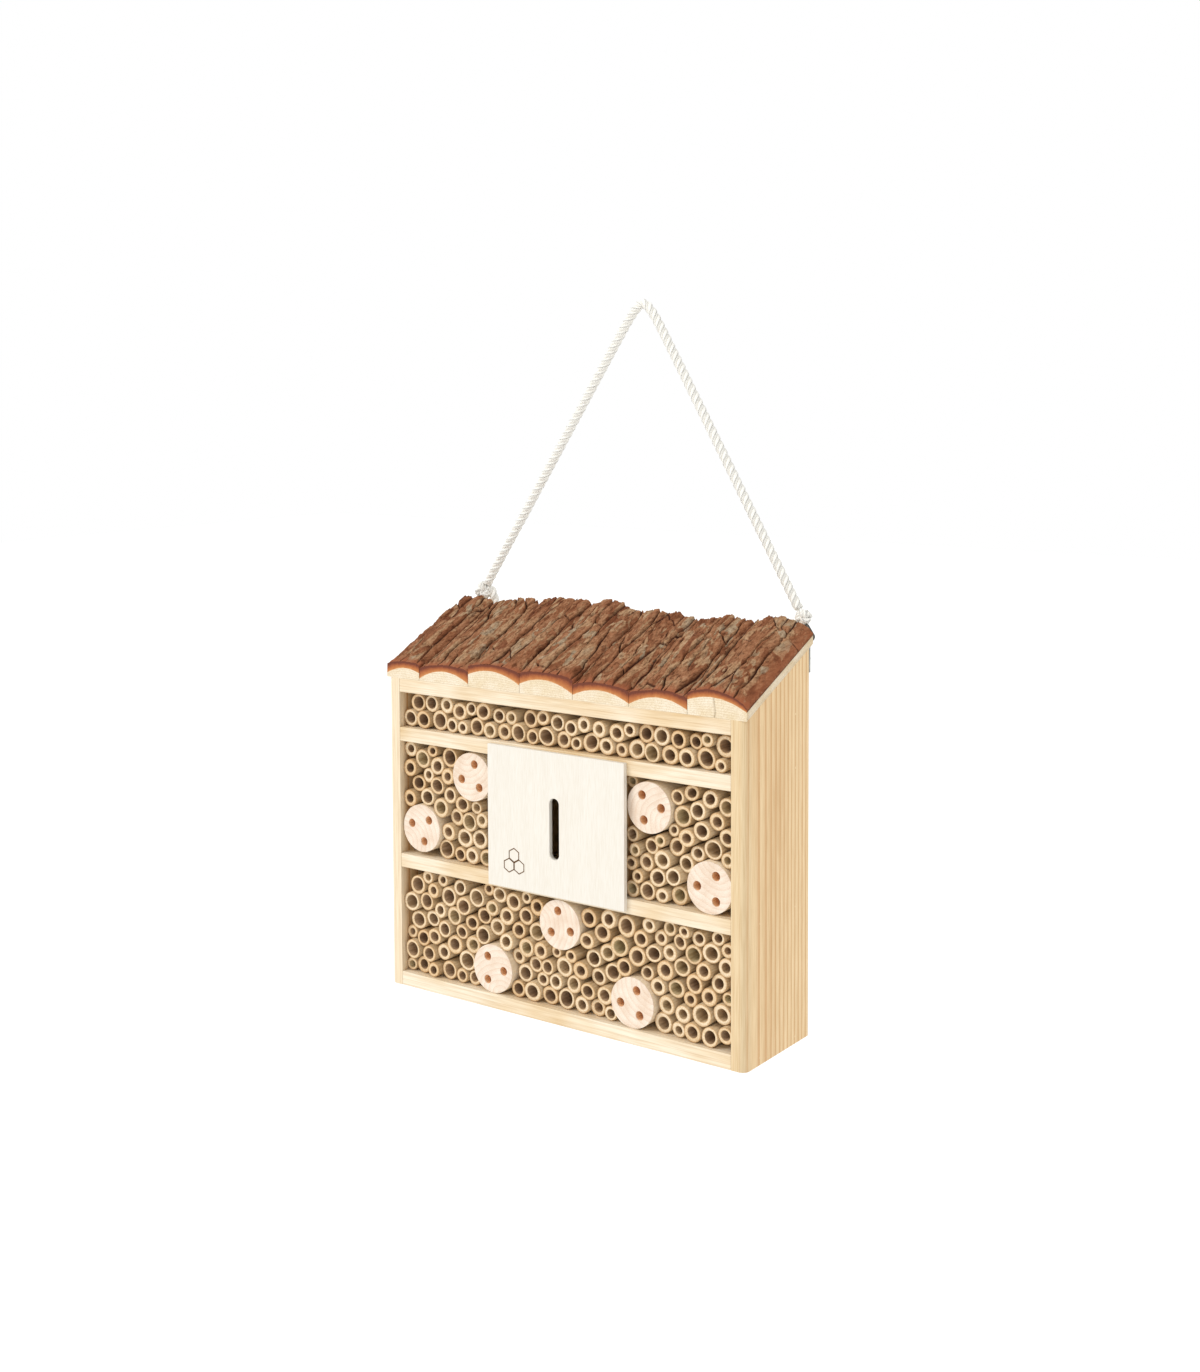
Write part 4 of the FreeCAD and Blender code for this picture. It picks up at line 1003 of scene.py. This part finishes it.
barkFinish, bastFinish, sapwoodFinish = barkMaterial(), bastMaterial(), sapwoodMaterial()
for number in range(len(slabShapes)):
    makeBark(number)
    makeSapwood(number)
print("roof slabs made")

markSettings = {
    "cell": 5.2 * mm,        # from a cell's middle to its corner
    "line": 0.75 * mm,
    "proud": 0.12 * mm,      # of the plate's face
    "sunk": 0.02 * mm,       # into it
    "bevel": 0.05 * mm,
    "left": 18.5 * mm,       # from the plate's left edge to the first cell's middle
    "up": 16 * mm,           # from the plate's bottom edge
}


def makeMark():
    # three honeycomb cells in thin scorched lines: each is a six-sided frame with an outer and
    # an inner outline, joined by a strip that stands just proud of the plate
    s = markSettings
    angle = np.radians(30 + 60 * np.arange(6))
    pitch = s["cell"] * math.sqrt(3) - s["line"] * 0.35
    first = np.array([plateLow[0] + s["left"], plateLow[2] + s["up"]])
    points, quads = [], []
    for n, shift in enumerate(((0, 0), (pitch, 0), (pitch / 2, pitch * math.sqrt(3) / 2))):
        cx, cz = first + shift
        for radius, y in ((s["cell"], plateLow[1] + s["sunk"]),
                          (s["cell"] - s["bevel"], plateLow[1] - s["proud"]),
                          (s["cell"] - s["line"], plateLow[1] - s["proud"]),
                          (s["cell"] - s["line"] - s["bevel"], plateLow[1] + s["sunk"])):
            points.append(np.stack([cx + radius * np.cos(angle), np.full(6, y),
                                    cz + radius * np.sin(angle)], axis=1))
        quads.append(gridQuads(4, 6, closeRows=True, closeColumns=True)[:, ::-1] + 24 * n)
    # scorched wood: brown, uneven, matt
    scorch, add, baseColour, _, place = newMaterial("scorchedLine", 0.85, 0.1)
    uneven = add("TexNoise", {"Vector": place, "Scale": 0.9 / mm, "Detail": 3.0})
    add("ValToRGB", [uneven], [(0.3, "#4a3322"), (0.7, "#7d5d3e")], into=baseColour)
    newPiece("honeycombMark", np.concatenate(points), np.concatenate(quads), [scorch], "hotel",
             smooth=False)


makeMark()
print("honeycomb mark made")

stageSettings = {
    "floorDrop": 1.1,        # metres from the hanging case down to the floor
    "floorReach": 14.0,
    "skyStrength": 1.0,
    "sunStrength": 1.25,
    "sunFrom": (-0.55, -0.75, 0.75),
    "sunSpread": 22,         # degrees, for soft shadows
}


def makeStage():
    # a pale floor well below the hanging case, an even white surrounding, and one wide soft light
    # from the front left
    s = stageSettings
    z = baseZ - s["floorDrop"]
    reach = s["floorReach"]
    corners = [(-reach, -reach, z), (reach, -reach, z), (reach, reach, z), (-reach, reach, z)]
    paint, add, baseColour, _, place = newMaterial("palePaintedFloor", 0.9, 0.05)
    tone = add("TexNoise", {"Vector": place, "Scale": 3.0})
    add("ValToRGB", [tone], [(0.3, "#f7f7f6"), (0.7, "#fbfbfa")], into=baseColour)
    newPiece("floor", corners, [[0, 1, 2, 3]], [paint], smooth=False)
    world = bpy.data.worlds.new("studio")
    bpy.context.scene.world = world
    world.use_nodes = True
    sky = world.node_tree.nodes["Background"]
    sky.inputs["Color"].default_value = (1, 1, 1, 1)
    sky.inputs["Strength"].default_value = s["skyStrength"]
    data = bpy.data.lights.new("softSun", "SUN")
    data.energy = s["sunStrength"]
    data.angle = math.radians(s["sunSpread"])
    lamp = bpy.data.objects.new("softSun", data)
    lamp.matrix_world = facing((0, 0, 1), s["sunFrom"])
    bpy.context.scene.collection.objects.link(lamp)
    bpy.context.scene.view_settings.view_transform = "Standard"


makeStage()
print("stage and light made")
